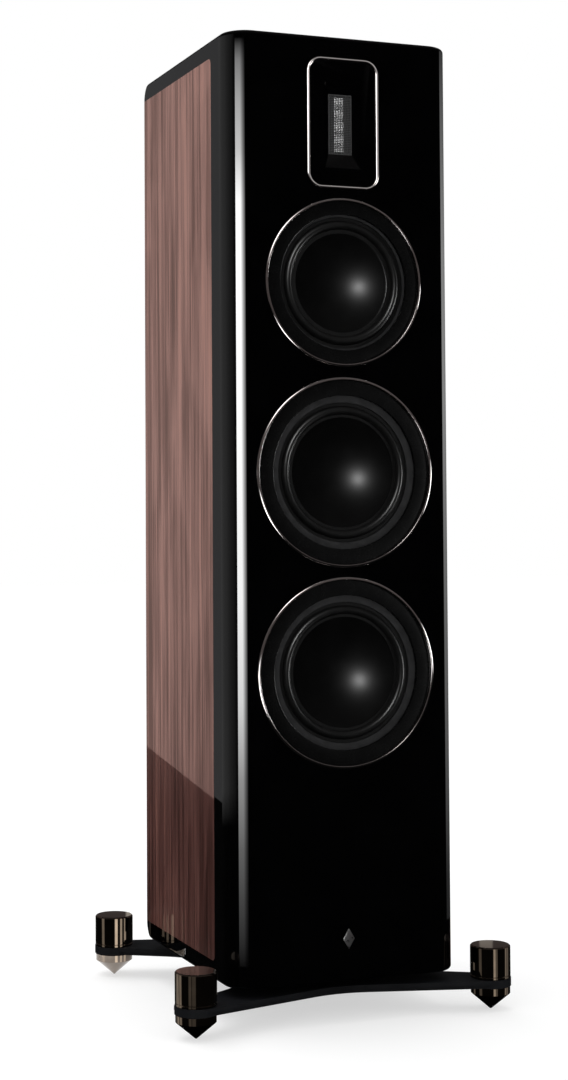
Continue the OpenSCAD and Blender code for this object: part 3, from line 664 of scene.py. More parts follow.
def roll_profile(driver):
    """Half-round roll standing forward, with flat skirts outside and inside."""
    outer, inner, thick = driver.roll_outer, driver.roll_inner, 0.7
    middle, radius = (outer + inner) / 2, (outer - inner) / 2
    skirt_outer, skirt_inner = outer + 3.5, driver.dish_radius
    front = RIM_DEPTH - thick

    def half_round(size):
        return [(middle + size * cos(a), RIM_DEPTH - size * sin(a))
                for a in [k * pi / 32 for k in range(33)]]

    return ([(skirt_outer, RIM_DEPTH), (skirt_outer, front), (outer + 0.15, front)]
            + half_round(radius)[4:-4]
            + [(inner - 0.15, front), (skirt_inner, front), (skirt_inner, RIM_DEPTH),
               (inner + thick, RIM_DEPTH)]
            + half_round(radius - thick)[::-1] + [(outer - thick, RIM_DEPTH)])


def dish_profile(driver):
    """Spherical dish, deepest at the middle, with a flat rim; 1 mm thick."""
    edge, depth, thick, steps = driver.dish_radius, driver.dish_depth, 1.0, 40
    sphere = (edge ** 2 + depth ** 2) / (2 * depth)
    radii = [edge * i / steps for i in range(steps + 1)]
    front = [(r, RIM_DEPTH + depth - sphere + sqrt(sphere * sphere - r * r)) for r in radii]
    return (front + [(driver.cone_rim, RIM_DEPTH), (driver.cone_rim, RIM_DEPTH + thick)]
            + [(r, d + thick) for r, d in reversed(front)])


def spider_profile(driver):
    """Corrugated ring whose waves die out at both edges."""
    inner, outer, steps = driver.former_radius + 1.0, driver.back_radius + 3, 120

    def wave(part):
        return 1.5 * sin(part * pi * 11) * min(1, part * 10, (1 - part) * 10)

    front = [(inner + (outer - inner) * i / steps, driver.spider_depth - 0.3 + wave(i / steps))
             for i in range(steps + 1)]
    return front + [(r, d + 0.6) for r, d in reversed(front)]


def radial_blend(obj, body, z, inner, outer):
    """Blends from the moving body at the inner radius to the cabinet at the outer one."""
    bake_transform(obj, "cabinet", body, start=(0, FRONT_Y * MM, z * MM),
             end=(0.01, FRONT_Y * MM, z * MM))
    weights = obj.data.attributes["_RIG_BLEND"].data
    for i, vert in enumerate(obj.data.vertices):
        radius = hypot(vert.co.x / MM, vert.co.z / MM - z)
        weights[i].value = max(0.0, min(1.0, (outer - radius) / (outer - inner)))


for key, z, driver in DRIVERS:
    place, diaphragm = front_at(z), key + "_diaphragm"
    piece(key + "_dish", lathe(dish_profile(driver), place), "cone_skin", key + "_cone",
          body=diaphragm, angle=40)
    roll = piece(key + "_roll", lathe(roll_profile(driver), place, 256), "surround_rubber",
                 key + "_surround", body=None, angle=50)
    radial_blend(roll, diaphragm, z, driver.roll_inner, driver.roll_outer)
    spider = piece(key + "_corrugation", lathe(spider_profile(driver), place, 96),
                   "spider_cloth", key + "_spider", body=None, angle=60)
    radial_blend(spider, diaphragm, z, driver.former_radius + 2.5, driver.back_radius)

piece("woofer_rings_polished",
      join([lathe(trim_profile(WOOFER), front_at(z), 320) for z in (LOWER_Z, UPPER_Z)]),
      "trim_metal", "woofer_trim_rings", angle=40)
piece("midrange_ring_polished", lathe(trim_profile(MIDRANGE), front_at(MIDRANGE_Z), 320),
      "trim_metal", "midrange_trim_ring", angle=40)
# the bezels take the darkened copy of the satin plastic, which is painted shade
piece("bezels_satin",
      join([lathe(bezel_profile(driver), front_at(z), 256) for _, z, driver in DRIVERS]),
      "satin_plastic_painted_shade", "driver_bezels", angle=50)

# ---------------------------------------------------------------- tweeter

at_tweeter = front_at(TWEETER_Z)


def tweeter_frame():
    """Closed band through rounded rectangles, from the outside in over a half-round top."""
    half = TWEETER_BAND / 2
    section = [(half - half * cos(a), -TWEETER_CREST * sin(a))
               for a in [pi * k / 16 for k in range(17)]]
    section += [(TWEETER_BAND, TWEETER_SEAT), (0, TWEETER_SEAT)]
    loops = [[at_tweeter(x, y, depth) for x, y in tweeter_outline(inset, 20)]
             for inset, depth in section]
    count, levels = len(loops[0]), len(loops)
    faces = []
    for i in range(levels):
        this, following = i * count, ((i + 1) % levels) * count
        for k in range(count):
            after = (k + 1) % count
            faces.append((this + k, this + after, following + after, following + k))
    return raw_mesh([point for loop in loops for point in loop], faces)


def faceplate():
    """Plate with a four-sided flare down to the window."""
    plate = prism(tweeter_outline(TWEETER_BAND + GAP), at_tweeter, 0.8, TWEETER_SEAT - GAP)
    block = prism(sharp_rect(*TWEETER_BACK), at_tweeter, 3.9, 10)
    mesh = boolean(plate, [block], "UNION")
    # half width, half height and depth of the flare's mouth and of its foot
    ends = ((20.7, 48.2, 0.6), (WINDOW_WIDTH / 2, WINDOW_HEIGHT / 2, 8))
    verts = [at_tweeter(x * half_x, y * half_y, depth) for half_x, half_y, depth in ends
             for x, y in ((1, 1), (-1, 1), (-1, -1), (1, -1))]
    sides = [(i, 4 + i, 4 + (i + 1) % 4, (i + 1) % 4) for i in range(4)]
    flare = raw_mesh(verts, [(0, 1, 2, 3), (7, 6, 5, 4)] + sides)
    window = prism(sharp_rect(WINDOW_WIDTH, WINDOW_HEIGHT), at_tweeter, 7.0, 12)
    return bevelled(boolean(mesh, [flare, window], "DIFFERENCE"), 0.35, angle=12)


def perforated(width, height, columns, rows, front, back, border=0.9):
    """Flat sheet of square-cornered cells, each with an eight-sided hole, in a plain border."""
    cell_width, cell_height = (width - 2 * border) / columns, (height - 2 * border) / rows
    half_x, half_y = cell_width * 0.36, cell_height * 0.36
    work = bmesh.new()

    def add_face(*points):
        work.faces.new([work.verts.new([c * MM for c in point]) for point in points])

    def add_wall(start, end):
        add_face(at_tweeter(*start, front), at_tweeter(*end, front),
                 at_tweeter(*end, back), at_tweeter(*start, back))

    def squared(value):
        return copysign(min(1, abs(value) * 1.25), value)

    angles = [pi / 8 + k * pi / 4 for k in range(8)]
    for i in range(columns):
        for j in range(rows):
            x = -width / 2 + border + cell_width * (i + 0.5)
            y = -height / 2 + border + cell_height * (j + 0.5)
            hole = [(x + half_x * squared(cos(a)), y + half_y * squared(sin(a)))
                    for a in angles]
            x0, x1 = x - cell_width / 2, x + cell_width / 2
            y0, y1 = y - cell_height / 2, y + cell_height / 2
            cell = [(x1, y), (x1, y1), (x, y1), (x0, y1), (x0, y), (x0, y0), (x, y0), (x1, y0)]
            for k in range(8):
                after = (k + 1) % 8
                for depth in (front, back):
                    here, ahead, hole_here, hole_ahead = [
                        at_tweeter(*point, depth)
                        for point in (cell[k], cell[after], hole[k], hole[after])]
                    add_face(here, ahead, hole_here)
                    add_face(ahead, hole_ahead, hole_here)
                add_wall(hole[k], hole[after])

    x0, x1 = -width / 2 + border, width / 2 - border
    y0, y1 = -height / 2 + border, height / 2 - border
    x_steps = [x0 + (x1 - x0) * i / (2 * columns) for i in range(2 * columns + 1)]
    y_steps = [y0 + (y1 - y0) * j / (2 * rows) for j in range(2 * rows + 1)]
    inner = ([(x, y0) for x in x_steps] + [(x1, y) for y in y_steps[1:]]
             + [(x, y1) for x in reversed(x_steps[:-1])]
             + [(x0, y) for y in reversed(y_steps[1:-1])])
    outer = [(-width / 2 + (x - x0) * width / (x1 - x0),
              -height / 2 + (y - y0) * height / (y1 - y0)) for x, y in inner]
    for k in range(len(inner)):
        after = (k + 1) % len(inner)
        for depth in (front, back):
            add_face(*[at_tweeter(*point, depth)
                       for point in (inner[k], inner[after], outer[after], outer[k])])
        add_wall(outer[k], outer[after])
    mesh = bpy.data.meshes.new("perf")
    work.to_mesh(mesh)
    work.free()
    return mesh


def pleated():
    """Closed strip of foil with its folds running across its width."""
    steps, length, half_width, depth, fold, thick = 72, 58, 5, 11.25, 0.2, 0.12
    front = [(-length / 2 + length * i / steps, depth + (fold if i % 2 else 0.0))
             for i in range(steps + 1)]
    back = [(y, d + thick) for y, d in front]
    return prism(front + back[::-1], lambda y, d, x: at_tweeter(x, y, d),
                 -half_width, half_width)


piece("tweeter_frame_polished", tweeter_frame(), "trim_metal", "tweeter_trim",
      angle=40)
piece("tweeter_plate_flared", faceplate(), "lacquer", "tweeter_faceplate",
      angle=30)
piece("tweeter_mesh_perforated",
      perforated(WINDOW_WIDTH - 2 * GAP, WINDOW_HEIGHT - 2 * GAP, columns=13, rows=34,
                 front=8.2, back=8.7),
      "grille_steel", "tweeter_grille", angle=30)
piece("ribbon_pleated", pleated(), "ribbon_foil", "tweeter_ribbon",
      body="ribbon", angle=20)

# ---------------------------------------------------------------- badge, base and feet

piece("badge_bevelled", bevelled(from_cad("front_badge"), 0.25, angle=20), "badge_metal",
      "front_badge", angle=30)
piece("plinth_painted", bevelled(from_cad("plinth"), 0.8, angle=35), "plinth_paint", "plinth",
      angle=40, weighted=True)


def knob_profile(top):
    """Grooved knob above the plinth, with a neck down through it and a blind hole."""
    radius, neck, bore = KNOB_RADIUS, 8.95, 5.05
    neck_end = PLINTH_Z0 - PLINTH_Z1 + 0.2
    groove = radius - 0.5
    return fillet([
        (bore, neck_end, 0), (neck, neck_end, 0), (neck, 0, 0), (radius - 0.6, 0, 0),
        (radius, 0.6, 0.3), (radius, 2.4, 0.2), (groove, 2.8, 0.1), (groove, 3.2, 0.1),
        (radius, 3.6, 0.2), (radius, top - 1.4, 0.5), (radius - 1.4, top, 0.5), (0, top, 0),
        (0, 25, 0), (bore, 25, 0)], 5)


def spike_profile():
    """Pointed foot up to the plinth, with a stud through it into the knob."""
    radius, cone, stud = KNOB_RADIUS - 0.5, 16.5, 5
    return fillet([
        (0, 0, 0), (1, 0, 0), (KNOB_RADIUS - 1.0, cone, 0.3), (radius, cone + 0.5, 0.3),
        (radius, PLINTH_Z0 - 0.6, 0.3), (KNOB_RADIUS - 1.1, PLINTH_Z0, 0.2),
        (stud, PLINTH_Z0, 0), (stud, PLINTH_Z1 + 22, 0), (stud - 1, PLINTH_Z1 + 23, 0),
        (0, PLINTH_Z1 + 23, 0)], 5)


for foot in FEET:
    x, y, _ = centre_mm("foot_knob_" + foot)
    top = box_mm("foot_knob_" + foot)[1][2] - PLINTH_Z1
    for part, profile, z in (("knob", knob_profile(top), PLINTH_Z1),
                             ("spike", spike_profile(), 0)):
        piece(f"{part}_chromed_{foot}", lathe(profile, up_at(x, y, z), 160), "dark_chrome",
              f"foot_{part}_{foot}", body=f"{part}_{foot}", angle=30)

# ---------------------------------------------------------------- rear fittings


def port_profile():
    """Tube with a flange and a flared mouth, as (radius, distance out of the rear face)."""
    flare_width, flare_length = 8, 10
    outside = [(PORT_BORE, -PORT_LENGTH), (PORT_TUBE, -PORT_LENGTH), (PORT_TUBE, -PORT_SEAT),
               (PORT_FLANGE, -PORT_SEAT), (PORT_FLANGE, PORT_LIP - 0.5),
               (PORT_FLANGE - 0.5, PORT_LIP)]
    mouth = [(PORT_BORE + flare_width * (1 - cos(a)),
              PORT_LIP - flare_length + flare_length * sin(a))
             for a in [k * pi / 32 for k in range(17)]]
    return outside + mouth[::-1]


piece("ports_flared", join([lathe(port_profile(), rear_at(z), 160) for z in (LOWER_Z, UPPER_Z)]),
      "satin_plastic", "reflex_ports", angle=35)
piece("terminal_plate_moulded", bevelled(from_cad("terminal_plate"), 0.5, angle=40),
      "satin_plastic", "terminal_plate", angle=35)
for pole, finish in (("positive", "cap_red"), ("negative", "cap_black")):
    cap = "binding_post_cap_" + pole
    piece("cap_knurled_" + pole, bevelled(from_cad(cap), 0.25, segments=2, angle=50), finish,
          cap, body="cap_" + pole, angle=35)

# ---------------------------------------------------------------- wadding


def wadding_block(sign, outer_x, y_range, z_range, rng):
    """Block against a side wall; its face towards the middle is lumpy and sinks at the rim."""
    thick, margin, lump, sink = 13.5, 1, 2.6, 3.0
    (y0, y1), (z0, z1) = y_range, z_range
    y_count, z_count = 26, max(6, int((z1 - z0) / 9))
    verts, faces = [], []
    for i in range(y_count + 1):
        for j in range(z_count + 1):
            edge = min(i, y_count - i, j, z_count - j)
            push = sink * (1 - min(1, edge / 2.0)) + (rng.random() * lump if edge else sink)
            verts.append((sign * (outer_x - thick + push),
                          y0 + margin + (y1 - y0 - 2 * margin) * i / y_count,
                          z0 + margin + (z1 - z0 - 2 * margin) * j / z_count))
    count = len(verts)
    verts += [(sign * outer_x, y, z) for _, y, z in verts]

    def index(i, j):
        return i * (z_count + 1) + j

    for i in range(y_count):
        for j in range(z_count):
            quad = (index(i, j), index(i + 1, j), index(i + 1, j + 1), index(i, j + 1))
            faces.append(quad)
            faces.append(tuple(count + k for k in reversed(quad)))
    rim = ([index(i, 0) for i in range(y_count)] + [index(y_count, j) for j in range(z_count)]
           + [index(i, z_count) for i in range(y_count, 0, -1)]
           + [index(0, j) for j in range(z_count, 0, -1)])
    faces += [(k, count + k, count + after, after) for k, after in zip(rim, rim[1:] + rim[:1])]
    return raw_mesh(verts, faces)


def wadding():
    """An upper and a lower block on each side, at the CAD blocks' own heights."""
    rng = random.Random(7)
    low, high = box_mm("damping_wadding")
    ends = sorted({round(vert.co.z / MM, 2)
                   for vert in cad_nodes["damping_wadding"].data.vertices})
    return join([wadding_block(sign, high[0], (low[1], high[1]), z_range, rng)
                 for sign in (-1, 1) for z_range in (ends[0:2], ends[2:4])])


piece("wadding_lofted", wadding(), "wadding_fibre", "damping_wadding", angle=80)

# ---------------------------------------------------------------- CAD nodes that stay

KEPT_FINISHES = {
    "cabinet_braces": "fibreboard", "midrange_chamber": "fibreboard",
    "plinth_spacers": "plinth_paint", "plinth_bolts": "dark_steel",
    "tweeter_magnets": "zinc_steel", "tweeter_housing": "satin_plastic",
    "midrange_basket": "powder_coat", "woofer_baskets": "powder_coat",
    "midrange_motor": "zinc_steel", "woofer_motors": "zinc_steel",
    "midrange_voice_coil": "copper_winding", "upper_woofer_voice_coil": "copper_winding",
    "lower_woofer_voice_coil": "copper_winding", "mounting_screws": "dark_steel",
    "binding_post_stems": "gold_plate", "binding_post_washer_positive": "gold_plate",
    "binding_post_washer_negative": "gold_plate", "crossover_board": "circuit_board",
    "crossover_parts": "crossover_parts", "internal_cables": "cable_jacket",
}
for name, finish in KEPT_FINISHES.items():
    node = cad_nodes[name]
    if not node.material_slots:
        node.data.materials.append(MATERIALS[finish])
    for material_slot in node.material_slots:
        material_slot.material = MATERIALS[finish]

# ---------------------------------------------------------------- world


def studio_world():
    """White to the camera and to diffuse rays; dim and brighter overhead in reflections."""
    world = bpy.data.worlds.new("studio")
    bpy.context.scene.world = world
    tree, output = blank_tree(world, "OutputWorld")
    rays = add_node(tree, "LightPath").outputs
    direction = add_node(tree, "SeparateXYZ", add_node(tree, "TexCoord").outputs["Generated"])
    height = remap(tree, direction.outputs["Z"], (0.20, 0.90), (0.004, 0.08))
    height.node.interpolation_type = "SMOOTHSTEP"
    white = (1, 1, 1, 1)
    glossy = add_node(tree, "Background", Color=(1, 0.95, 0.94, 1), Strength=height)
    diffuse = add_node(tree, "Background", Color=white, Strength=1.0)
    seen = add_node(tree, "Background", Color=white)
    unseen = mix_shader(tree, rays["Is Glossy Ray"], diffuse.outputs[0], glossy.outputs[0])
    feed(output, mix_shader(tree, rays["Is Camera Ray"], unseen, seen.outputs[0]))


studio_world()

# ---------------------------------------------------------------- reflection cards (metres)
# across and up are (position 0 to 1, strength) points along a card's u and v.


def strength_curve(tree, position, points):
    """Piecewise-linear strength along one direction."""
    node = add_node(tree, "FloatCurve", Value=position)
    line = node.mapping.curves[0]
    top = max(strength for _, strength in points)
    while len(line.points) < len(points):
        line.points.new(0.5, 0.5)
    for handle, (x, strength) in zip(line.points, sorted(points)):
        handle.location = (x, strength / top)
        handle.handle_type = "VECTOR"
    node.mapping.update()
    return arithmetic(tree, "MULTIPLY", node.outputs[0], top)


def gridded(tree, strength, half_angle):
    """Cuts an upright card's light to rays nearly square to it, as a honeycomb grid does."""
    geometry = add_node(tree, "NewGeometry")
    level = []
    for key in ("Incoming", "Normal"):
        flat = vector_arithmetic(tree, "MULTIPLY", geometry.outputs[key], (1, 1, 0))
        level.append(vector_arithmetic(tree, "NORMALIZE", flat.outputs[0]).outputs[0])
    dot = vector_arithmetic(tree, "DOT_PRODUCT", *level).outputs["Value"]
    facing = arithmetic(tree, "ABSOLUTE", dot)
    limit = cos(radians(half_angle))
    passed = remap(tree, facing, (limit, limit + (1 - limit) * 0.35), (0.0, 1.0))
    return arithmetic(tree, "MULTIPLY", strength, passed)


def restrict_light(obj, receivers):
    collection = bpy.data.collections.new(obj.name + "_receivers")
    for receiver in receivers:
        collection.objects.link(bpy.data.objects[receiver])
    obj.light_linking.receiver_collection = collection


def strip_card(name, columns, receivers, across=None, up=None, tint=(1, 1, 1), grid=None):
    """See-through glowing card, seen by the named pieces only, and only in reflections.

    columns are (bottom, top) points; u runs along them and v upward. grid is the half
    angle in degrees of a honeycomb grid."""
    count = len(columns) - 1
    mesh = bpy.data.meshes.new(name)
    mesh.from_pydata([point for column in columns for point in column], [],
                     [(2 * i, 2 * i + 2, 2 * i + 3, 2 * i + 1) for i in range(count)])
    layer = mesh.uv_layers.new(name="uv")
    for i in range(count):
        left, right = i / count, (i + 1) / count
        for j, corner in enumerate(((left, 0), (right, 0), (right, 1), (left, 1))):
            layer.data[4 * i + j].uv = corner
    obj = link_object(name, mesh)

    material = bpy.data.materials.new(name)
    tree, output = blank_tree(material)
    place = add_node(tree, "SeparateXYZ", add_node(tree, "TexCoord").outputs["UV"]).outputs
    strengths = [strength_curve(tree, place[axis], points)
                 for axis, points in (("X", across), ("Y", up)) if points]
    strength = strengths[0]
    if len(strengths) == 2:
        strength = arithmetic(tree, "MULTIPLY", *strengths)
    if grid:
        strength = gridded(tree, strength, grid)
    emission = add_node(tree, "Emission", Color=(*tint, 1), Strength=strength)
    clear = add_node(tree, "BsdfTransparent")
    glow = add_node(tree, "AddShader", emission.outputs[0], clear.outputs[0])
    feed(output, glow.outputs[0])
    mesh.materials.append(material)

    for ray in ("camera", "diffuse", "shadow", "transmission", "volume_scatter"):
        setattr(obj, "visible_" + ray, False)
    restrict_light(obj, receivers)


def card(name, corners, receivers, **light):
    """Four-cornered card; u runs from the first corner to the second."""
    first, second, third, fourth = corners
    strip_card(name, [(first, fourth), (second, third)], receivers, **light)


def arc_card(name, centre, radius, azimuths, z_range, receivers, **light):
    """Upright curved card round a point; azimuths in degrees from +X towards +Y."""
    start, end = azimuths
    steps = max(8, int(abs(end - start) / 3))
    columns = []
    for i in range(steps + 1):
        angle = radians(start + (end - start) * i / steps)
        x, y = centre[0] + radius * cos(angle), centre[1] + radius * sin(angle)
        columns.append([(x, y, z) for z in z_range])
    strip_card(name, columns, receivers, **light)


def upright(start, end, z0, z1):
    return [(*start, z0), (*end, z0), (*end, z1), (*start, z1)]


def level(x0, x1, y0, y1, z):
    return [(x0, y0, z), (x1, y0, z), (x1, y1, z), (x0, y1, z)]


# the rounded front edges: a narrow tall strip and a dim haze at the left, one at the right
LEFT_CENTRE = (-(FLAT_X + 17) * MM, (FRONT_Y + FRONT_RADIUS - 20) * MM)
LEFT_HEIGHTS = (-0.03, 1.15)
arc_card("strip_left", LEFT_CENTRE, 0.30, (207.5, 252), LEFT_HEIGHTS, ["baffle_edge_left"],
         across=[(0, 27), (0.5, 27), (0.75, 10), (1, 0)],
         up=[(0, 0.0), (0.0254, 0.003), (0.05, 0.022), (0.091, 0.052), (0.141, 0.105),
             (0.21, 0.25), (0.289, 0.604), (0.389, 0.815), (0.589, 0.939), (0.69, 1.0),
             (0.791, 0.922), (0.842, 0.503), (0.893, 0.342), (0.933, 0.184), (0.956, 0.0),
             (1, 0)], grid=11)
arc_card("haze_edge", LEFT_CENTRE, 0.30, (100, 207.5), LEFT_HEIGHTS, ["baffle_edge_left"],
         across=[(0, 0.2), (0.1, 0.2), (0.48, 0.34), (0.84, 0.16), (0.97, 0.03), (1, 0.0)],
         up=[(0, 0.0), (0.165, 0.0), (0.2, 1.0), (0.96, 1.0), (0.975, 0.0), (1, 0.0)], grid=11)

# haze over the left side, with a straight lower edge; warm on the walnut, grey on the lacquer
HAZE = [(-0.475, 0.80, 0.0795), (-0.475, 1.6, 0.188), (-0.475, 1.6, 1.9), (-0.475, 0.80, 1.9)]
card("haze_walnut", HAZE, ["walnut_panel_left"],
     across=[(0, 0.0), (0.026, 0.01), (0.0755, 0.17), (0.0765, 0.87), (1, 0.87)],
     up=[(0, 0.80), (0.11, 0.85), (0.28, 1.0), (0.46, 0.93), (1, 0.92)], tint=(1, 0.65, 0.57))
# this one lies just outside the first, so that the two never coincide
card("haze_side", [(-0.485, y + 0.027, z) for _, y, z in HAZE],
     ["side_lacquered_left", "top_lacquered", "bottom_lacquered"],
     across=[(0, 0.17), (1, 0.19)], tint=(0.98, 0.98, 1))

arc_card("strip_right", (FLAT_X * MM, (FRONT_Y + FRONT_RADIUS) * MM), 0.5, (0, 66),
         (-0.1, 1.2), ["baffle_edge_right", "side_lacquered_right"],
         across=[(0, 2.4), (0.06, 2.25), (0.45, 0.74), (0.76, 0.25), (0.88, 0.04), (1, 0)],
         up=[(0, 0.03), (0.12, 0.08), (0.25, 0.35), (0.45, 0.65), (0.6, 1.0), (0.75, 0.95),
             (0.9, 0.4), (1, 0)], grid=9)

# the bright metal: from upper left, from low left, from the right and all round
RINGS = ["woofer_rings_polished", "midrange_ring_polished"]
TWEETER_FRAME = "tweeter_frame_polished"
METAL = RINGS + [TWEETER_FRAME, "badge_bevelled"]
card("metal_high",
     [(-0.95, -1.05, 1.15), (0.05, -1.35, 1.15), (0.05, -1.1, 2.1), (-0.95, -0.8, 2.1)], METAL,
     across=[(0, 0.1), (0.3, 5.0), (0.55, 5.0), (1, 0.1)],
     up=[(0, 0.1), (0.35, 1), (0.65, 1), (1, 0.1)], tint=(1, 0.95, 0.94))
card("metal_low", upright((-0.75, -0.8), (-0.15, -1.05), 0.0, 0.42),
     RINGS + ["badge_bevelled"],
     across=[(0, 0.1), (0.35, 6.0), (0.7, 6.0), (1, 0.1)], up=[(0, 1), (0.7, 1), (1, 0.2)])
for name, z0, z1, receiver in (("woofers", 0.25, 0.70, RINGS[0]),
                               ("midrange", 0.66, 0.92, RINGS[1]),
                               ("tweeter", 0.45, 1.05, TWEETER_FRAME)):
    card("metal_right_" + name, upright((1.2, -0.85), (1.2, 0.1), z0, z1), [receiver],
         across=[(0, 0.1), (0.35, 7.0), (0.7, 7.0), (1, 0.1)],
         up=[(0, 0.1), (0.3, 1), (0.7, 1), (1, 0.1)])
card("tweeter_left", upright((-1.25, -0.55), (-0.95, -1.15), 0.85, 1.5), [TWEETER_FRAME],
     across=[(0, 0.3), (0.4, 9.0), (1, 4.0)], up=[(0, 0.1), (0.4, 1), (1, 1)])
arc_card("tweeter_base", (0, 0), 2.9, (100, 440), (0.4, 3.4), [TWEETER_FRAME],
         up=[(0, 0.05), (0.3, 0.3), (1, 0.5)])
arc_card("metal_base", (0, 0), 3.0, (100, 440), (0.0, 3.5), METAL,
         up=[(0, 0.05), (0.4, 0.07), (1, 0.05)], tint=(1, 0.86, 0.84))


def foot_light(foot, strips):
    """Upright strips close round a foot, each (start, end in degrees, strength)."""
    base, fade = 0.006, 0.006       # strength between strips; fade as a part of a turn
    points = [(0.0, base)]
    for start, end, strength in strips:
        start, end = start / 360, end / 360
        points += [(start - fade, base), (start, strength), (end, strength), (end + fade, base)]
    points.append((1.0, base))
    x, y, _ = centre_mm("foot_knob_" + foot)
    arc_card("foot_light_" + foot, (x * MM, y * MM), 0.05, (0, 360), (0.0005, 0.09),
             ["knob_chromed_" + foot, "spike_chromed_" + foot], across=points,
             tint=(1, 0.92, 0.80))


RIGHT_STRIPS = [(60, 75, 0.25), (150, 160, 0.4), (190, 201, 0.3), (258, 266, 1.5),
                (269, 274, 0.5), (319, 326, 0.9), (331, 343, 0.5)]
foot_light("front_left", [(30, 45, 0.2), (138, 148, 0.5), (153, 161, 1.1), (168, 181, 0.8),
                          (220, 230, 0.24), (235, 249, 0.2)])
foot_light("rear_left", [(40, 55, 0.5), (190, 202, 0.8), (258, 269, 3.2), (284, 292, 1.8),
                         (305, 314, 1.6)])
foot_light("front_right", RIGHT_STRIPS)
foot_light("rear_right", RIGHT_STRIPS)

spike_x, spike_y = [c * MM for c in centre_mm("foot_spike_rear_left")[:2]]
card("spike_floor",
     level(spike_x - 0.9, spike_x + 0.25, spike_y - 0.9, spike_y + 0.25, 0.0003),
     ["spike_chromed_rear_left"], across=[(0, 1.8), (0.7, 1.8), (0.9, 0.6), (1, 0.2)])
arc_card("foot_sky", (0, 0), 2.5, (0, 360), (0.25, 2.5),
         [f"{part}_chromed_{foot}" for part in ("knob", "spike") for foot in FEET],
         up=[(0, 0.07), (1, 0.12)], tint=(1, 0.8, 0.74))
card("overhead_card", level(-1.3, 1.3, -0.9, 2.6, 2.6), ["top_lacquered", "rear_lacquered"],
     across=[(0, 0.1), (0.4, 0.9), (1, 0.3)], up=[(0, 0.3), (0.6, 1), (1, 0.4)])
card("ribbon_card", upright((0.22, -1.35), (0.66, -1.35), 0.05, 2.4), ["ribbon_pleated"],
     up=[(0, 2.6), (1, 2.6)])
card("mesh_card", upright((-1.5, -1.2), (-0.5, -1.7), 0.6, 1.9), ["tweeter_mesh_perforated"],
     across=[(0, 1.2), (1, 0.7)])

# behind and to the right, for the faces turned away from the camera
REAR_PIECES = ["rear_lacquered", "ports_flared", "terminal_plate_moulded",
               "cap_knurled_positive", "cap_knurled_negative"]
RIGHT_PIECES = ["side_lacquered_right", "walnut_panel_right"]
card("rear_floor", level(-13, 13, 0.16, 13.5, 0.0006), REAR_PIECES,
     up=[(0, 0.12), (0.04, 0.5), (0.13, 1.1), (0.35, 1.2), (0.95, 0.0), (1, 0.0)])
card("rear_softbox", upright((2.6, 2.6), (-2.6, 2.6), 0.02, 2.4),
     REAR_PIECES + ["binding_post_stems"],
     across=[(0, 0.0), (0.3, 0.8), (0.5, 1.0), (0.7, 0.8), (1, 0.0)],
     up=[(0, 0.0), (0.45, 1), (1, 0.0)])
card("right_floor", level(0.16, 13, -13, 13, 0.0009), RIGHT_PIECES,
     across=[(0, 0.05), (0.06, 0.35), (0.2, 0.55), (0.5, 0.15), (0.9, 0.0), (1, 0.0)])
card("right_softbox", upright((2.2, -0.3), (2.2, 1.3), 0.0, 2.2), RIGHT_PIECES,
     across=[(0, 0.0), (0.3, 0.5), (0.8, 0.8), (1, 0.3)], up=[(0, 0.0), (0.6, 1), (1, 0.6)])

# ---------------------------------------------------------------- lights and floor (metres)


def area_light(name, location, target, size, power, shape="DISK"):
    lamp = bpy.data.lights.new(name, "AREA")
    lamp.shape = shape
    lamp.size = size
    lamp.energy = power
    obj = link_object(name, lamp)
    obj.location = location
    aim = Vector(target) - Vector(location)
    obj.rotation_euler = aim.to_track_quat("-Z", "Y").to_euler()
    return obj


def driver_lights(key, z):
    """Three lights that only the named parts of one driver, and the bezels, receive."""
    target = (0, FRONT_Y * MM, z)
    roll = key + "_roll"
    front = area_light("front_light_" + key, (-0.48, -2.6, z + 0.42), target,
                       size=0.30, power=53)
    restrict_light(front, [key + "_dish"])
    left = area_light("roll_light_" + key, (-0.55, -1.7, z + 0.75), target, size=0.5, power=14)
    restrict_light(left, [roll])
    right = area_light("right_light_" + key, (1.3, -0.9, z - 0.1), target, size=0.25, power=5)
    restrict_light(right, [roll, "bezels_satin"])


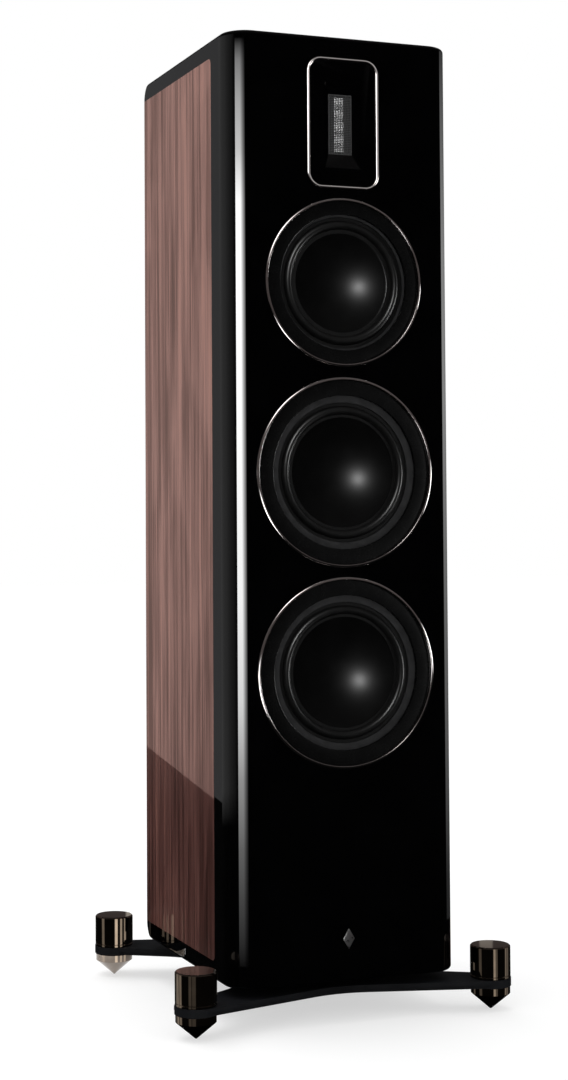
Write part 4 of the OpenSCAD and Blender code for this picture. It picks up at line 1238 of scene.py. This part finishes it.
def studio_floor():
    """White floor that is dark where polished faces mirror it and part-lit to the camera."""
    mesh = bpy.data.meshes.new("studio_floor")
    mesh.from_pydata(level(-14, 14, -14, 14, -0.0002), [], [(0, 1, 2, 3)])
    floor = link_object("studio_floor", mesh)
    material = bpy.data.materials.new("studio_floor")
    tree, output = blank_tree(material)

    def diffuse(grey):
        return add_node(tree, "BsdfDiffuse", Color=(grey, grey, grey, 1)).outputs[0]

    rays = add_node(tree, "LightPath").outputs
    unseen = mix_shader(tree, rays["Is Glossy Ray"], diffuse(0.97), diffuse(0.004))
    emission = add_node(tree, "Emission", Strength=0.57)
    seen = add_node(tree, "AddShader", diffuse(0.44), emission.outputs[0])
    feed(output, mix_shader(tree, rays["Is Camera Ray"], unseen, seen.outputs[0]))
    mesh.materials.append(material)


for key, z, _ in DRIVERS:
    driver_lights(key, z * MM)
studio_floor()
overhead = area_light("overhead", (-0.6, 0.9, 3.6), (0.05, 0, 0), size=3.0, power=60,
                      shape="SQUARE")
overhead.visible_glossy = False

# ---------------------------------------------------------------- camera


def camera():
    """Looks from the front left; yaw turns from +Y towards +X, in radians."""
    yaw, pitch, roll = 0.359106, 0.0365476, -0.0051404
    forward = Vector((sin(yaw) * cos(pitch), cos(yaw) * cos(pitch), sin(pitch)))
    right = Vector((cos(yaw), -sin(yaw), 0))
    above = right.cross(forward)
    rolled_right = right * cos(roll) + above * sin(roll)
    rolled_above = -right * sin(roll) + above * cos(roll)
    pose = Matrix((rolled_right, rolled_above, -forward)).transposed().to_4x4()
    pose.translation = (-0.8216, -2.0264, 0.5197)

    lens = bpy.data.cameras.new("camera")
    lens.sensor_fit = "AUTO"
    lens.sensor_width = 36.0
    lens.lens = 64.845
    lens.shift_x = 0.0420
    lens.shift_y = -0.0814
    lens.clip_end = 100
    obj = link_object("camera", lens)
    obj.matrix_world = pose
    bpy.context.scene.camera = obj


camera()
bpy.context.scene.view_settings.view_transform = "Standard"
bpy.context.scene.view_settings.look = "None"
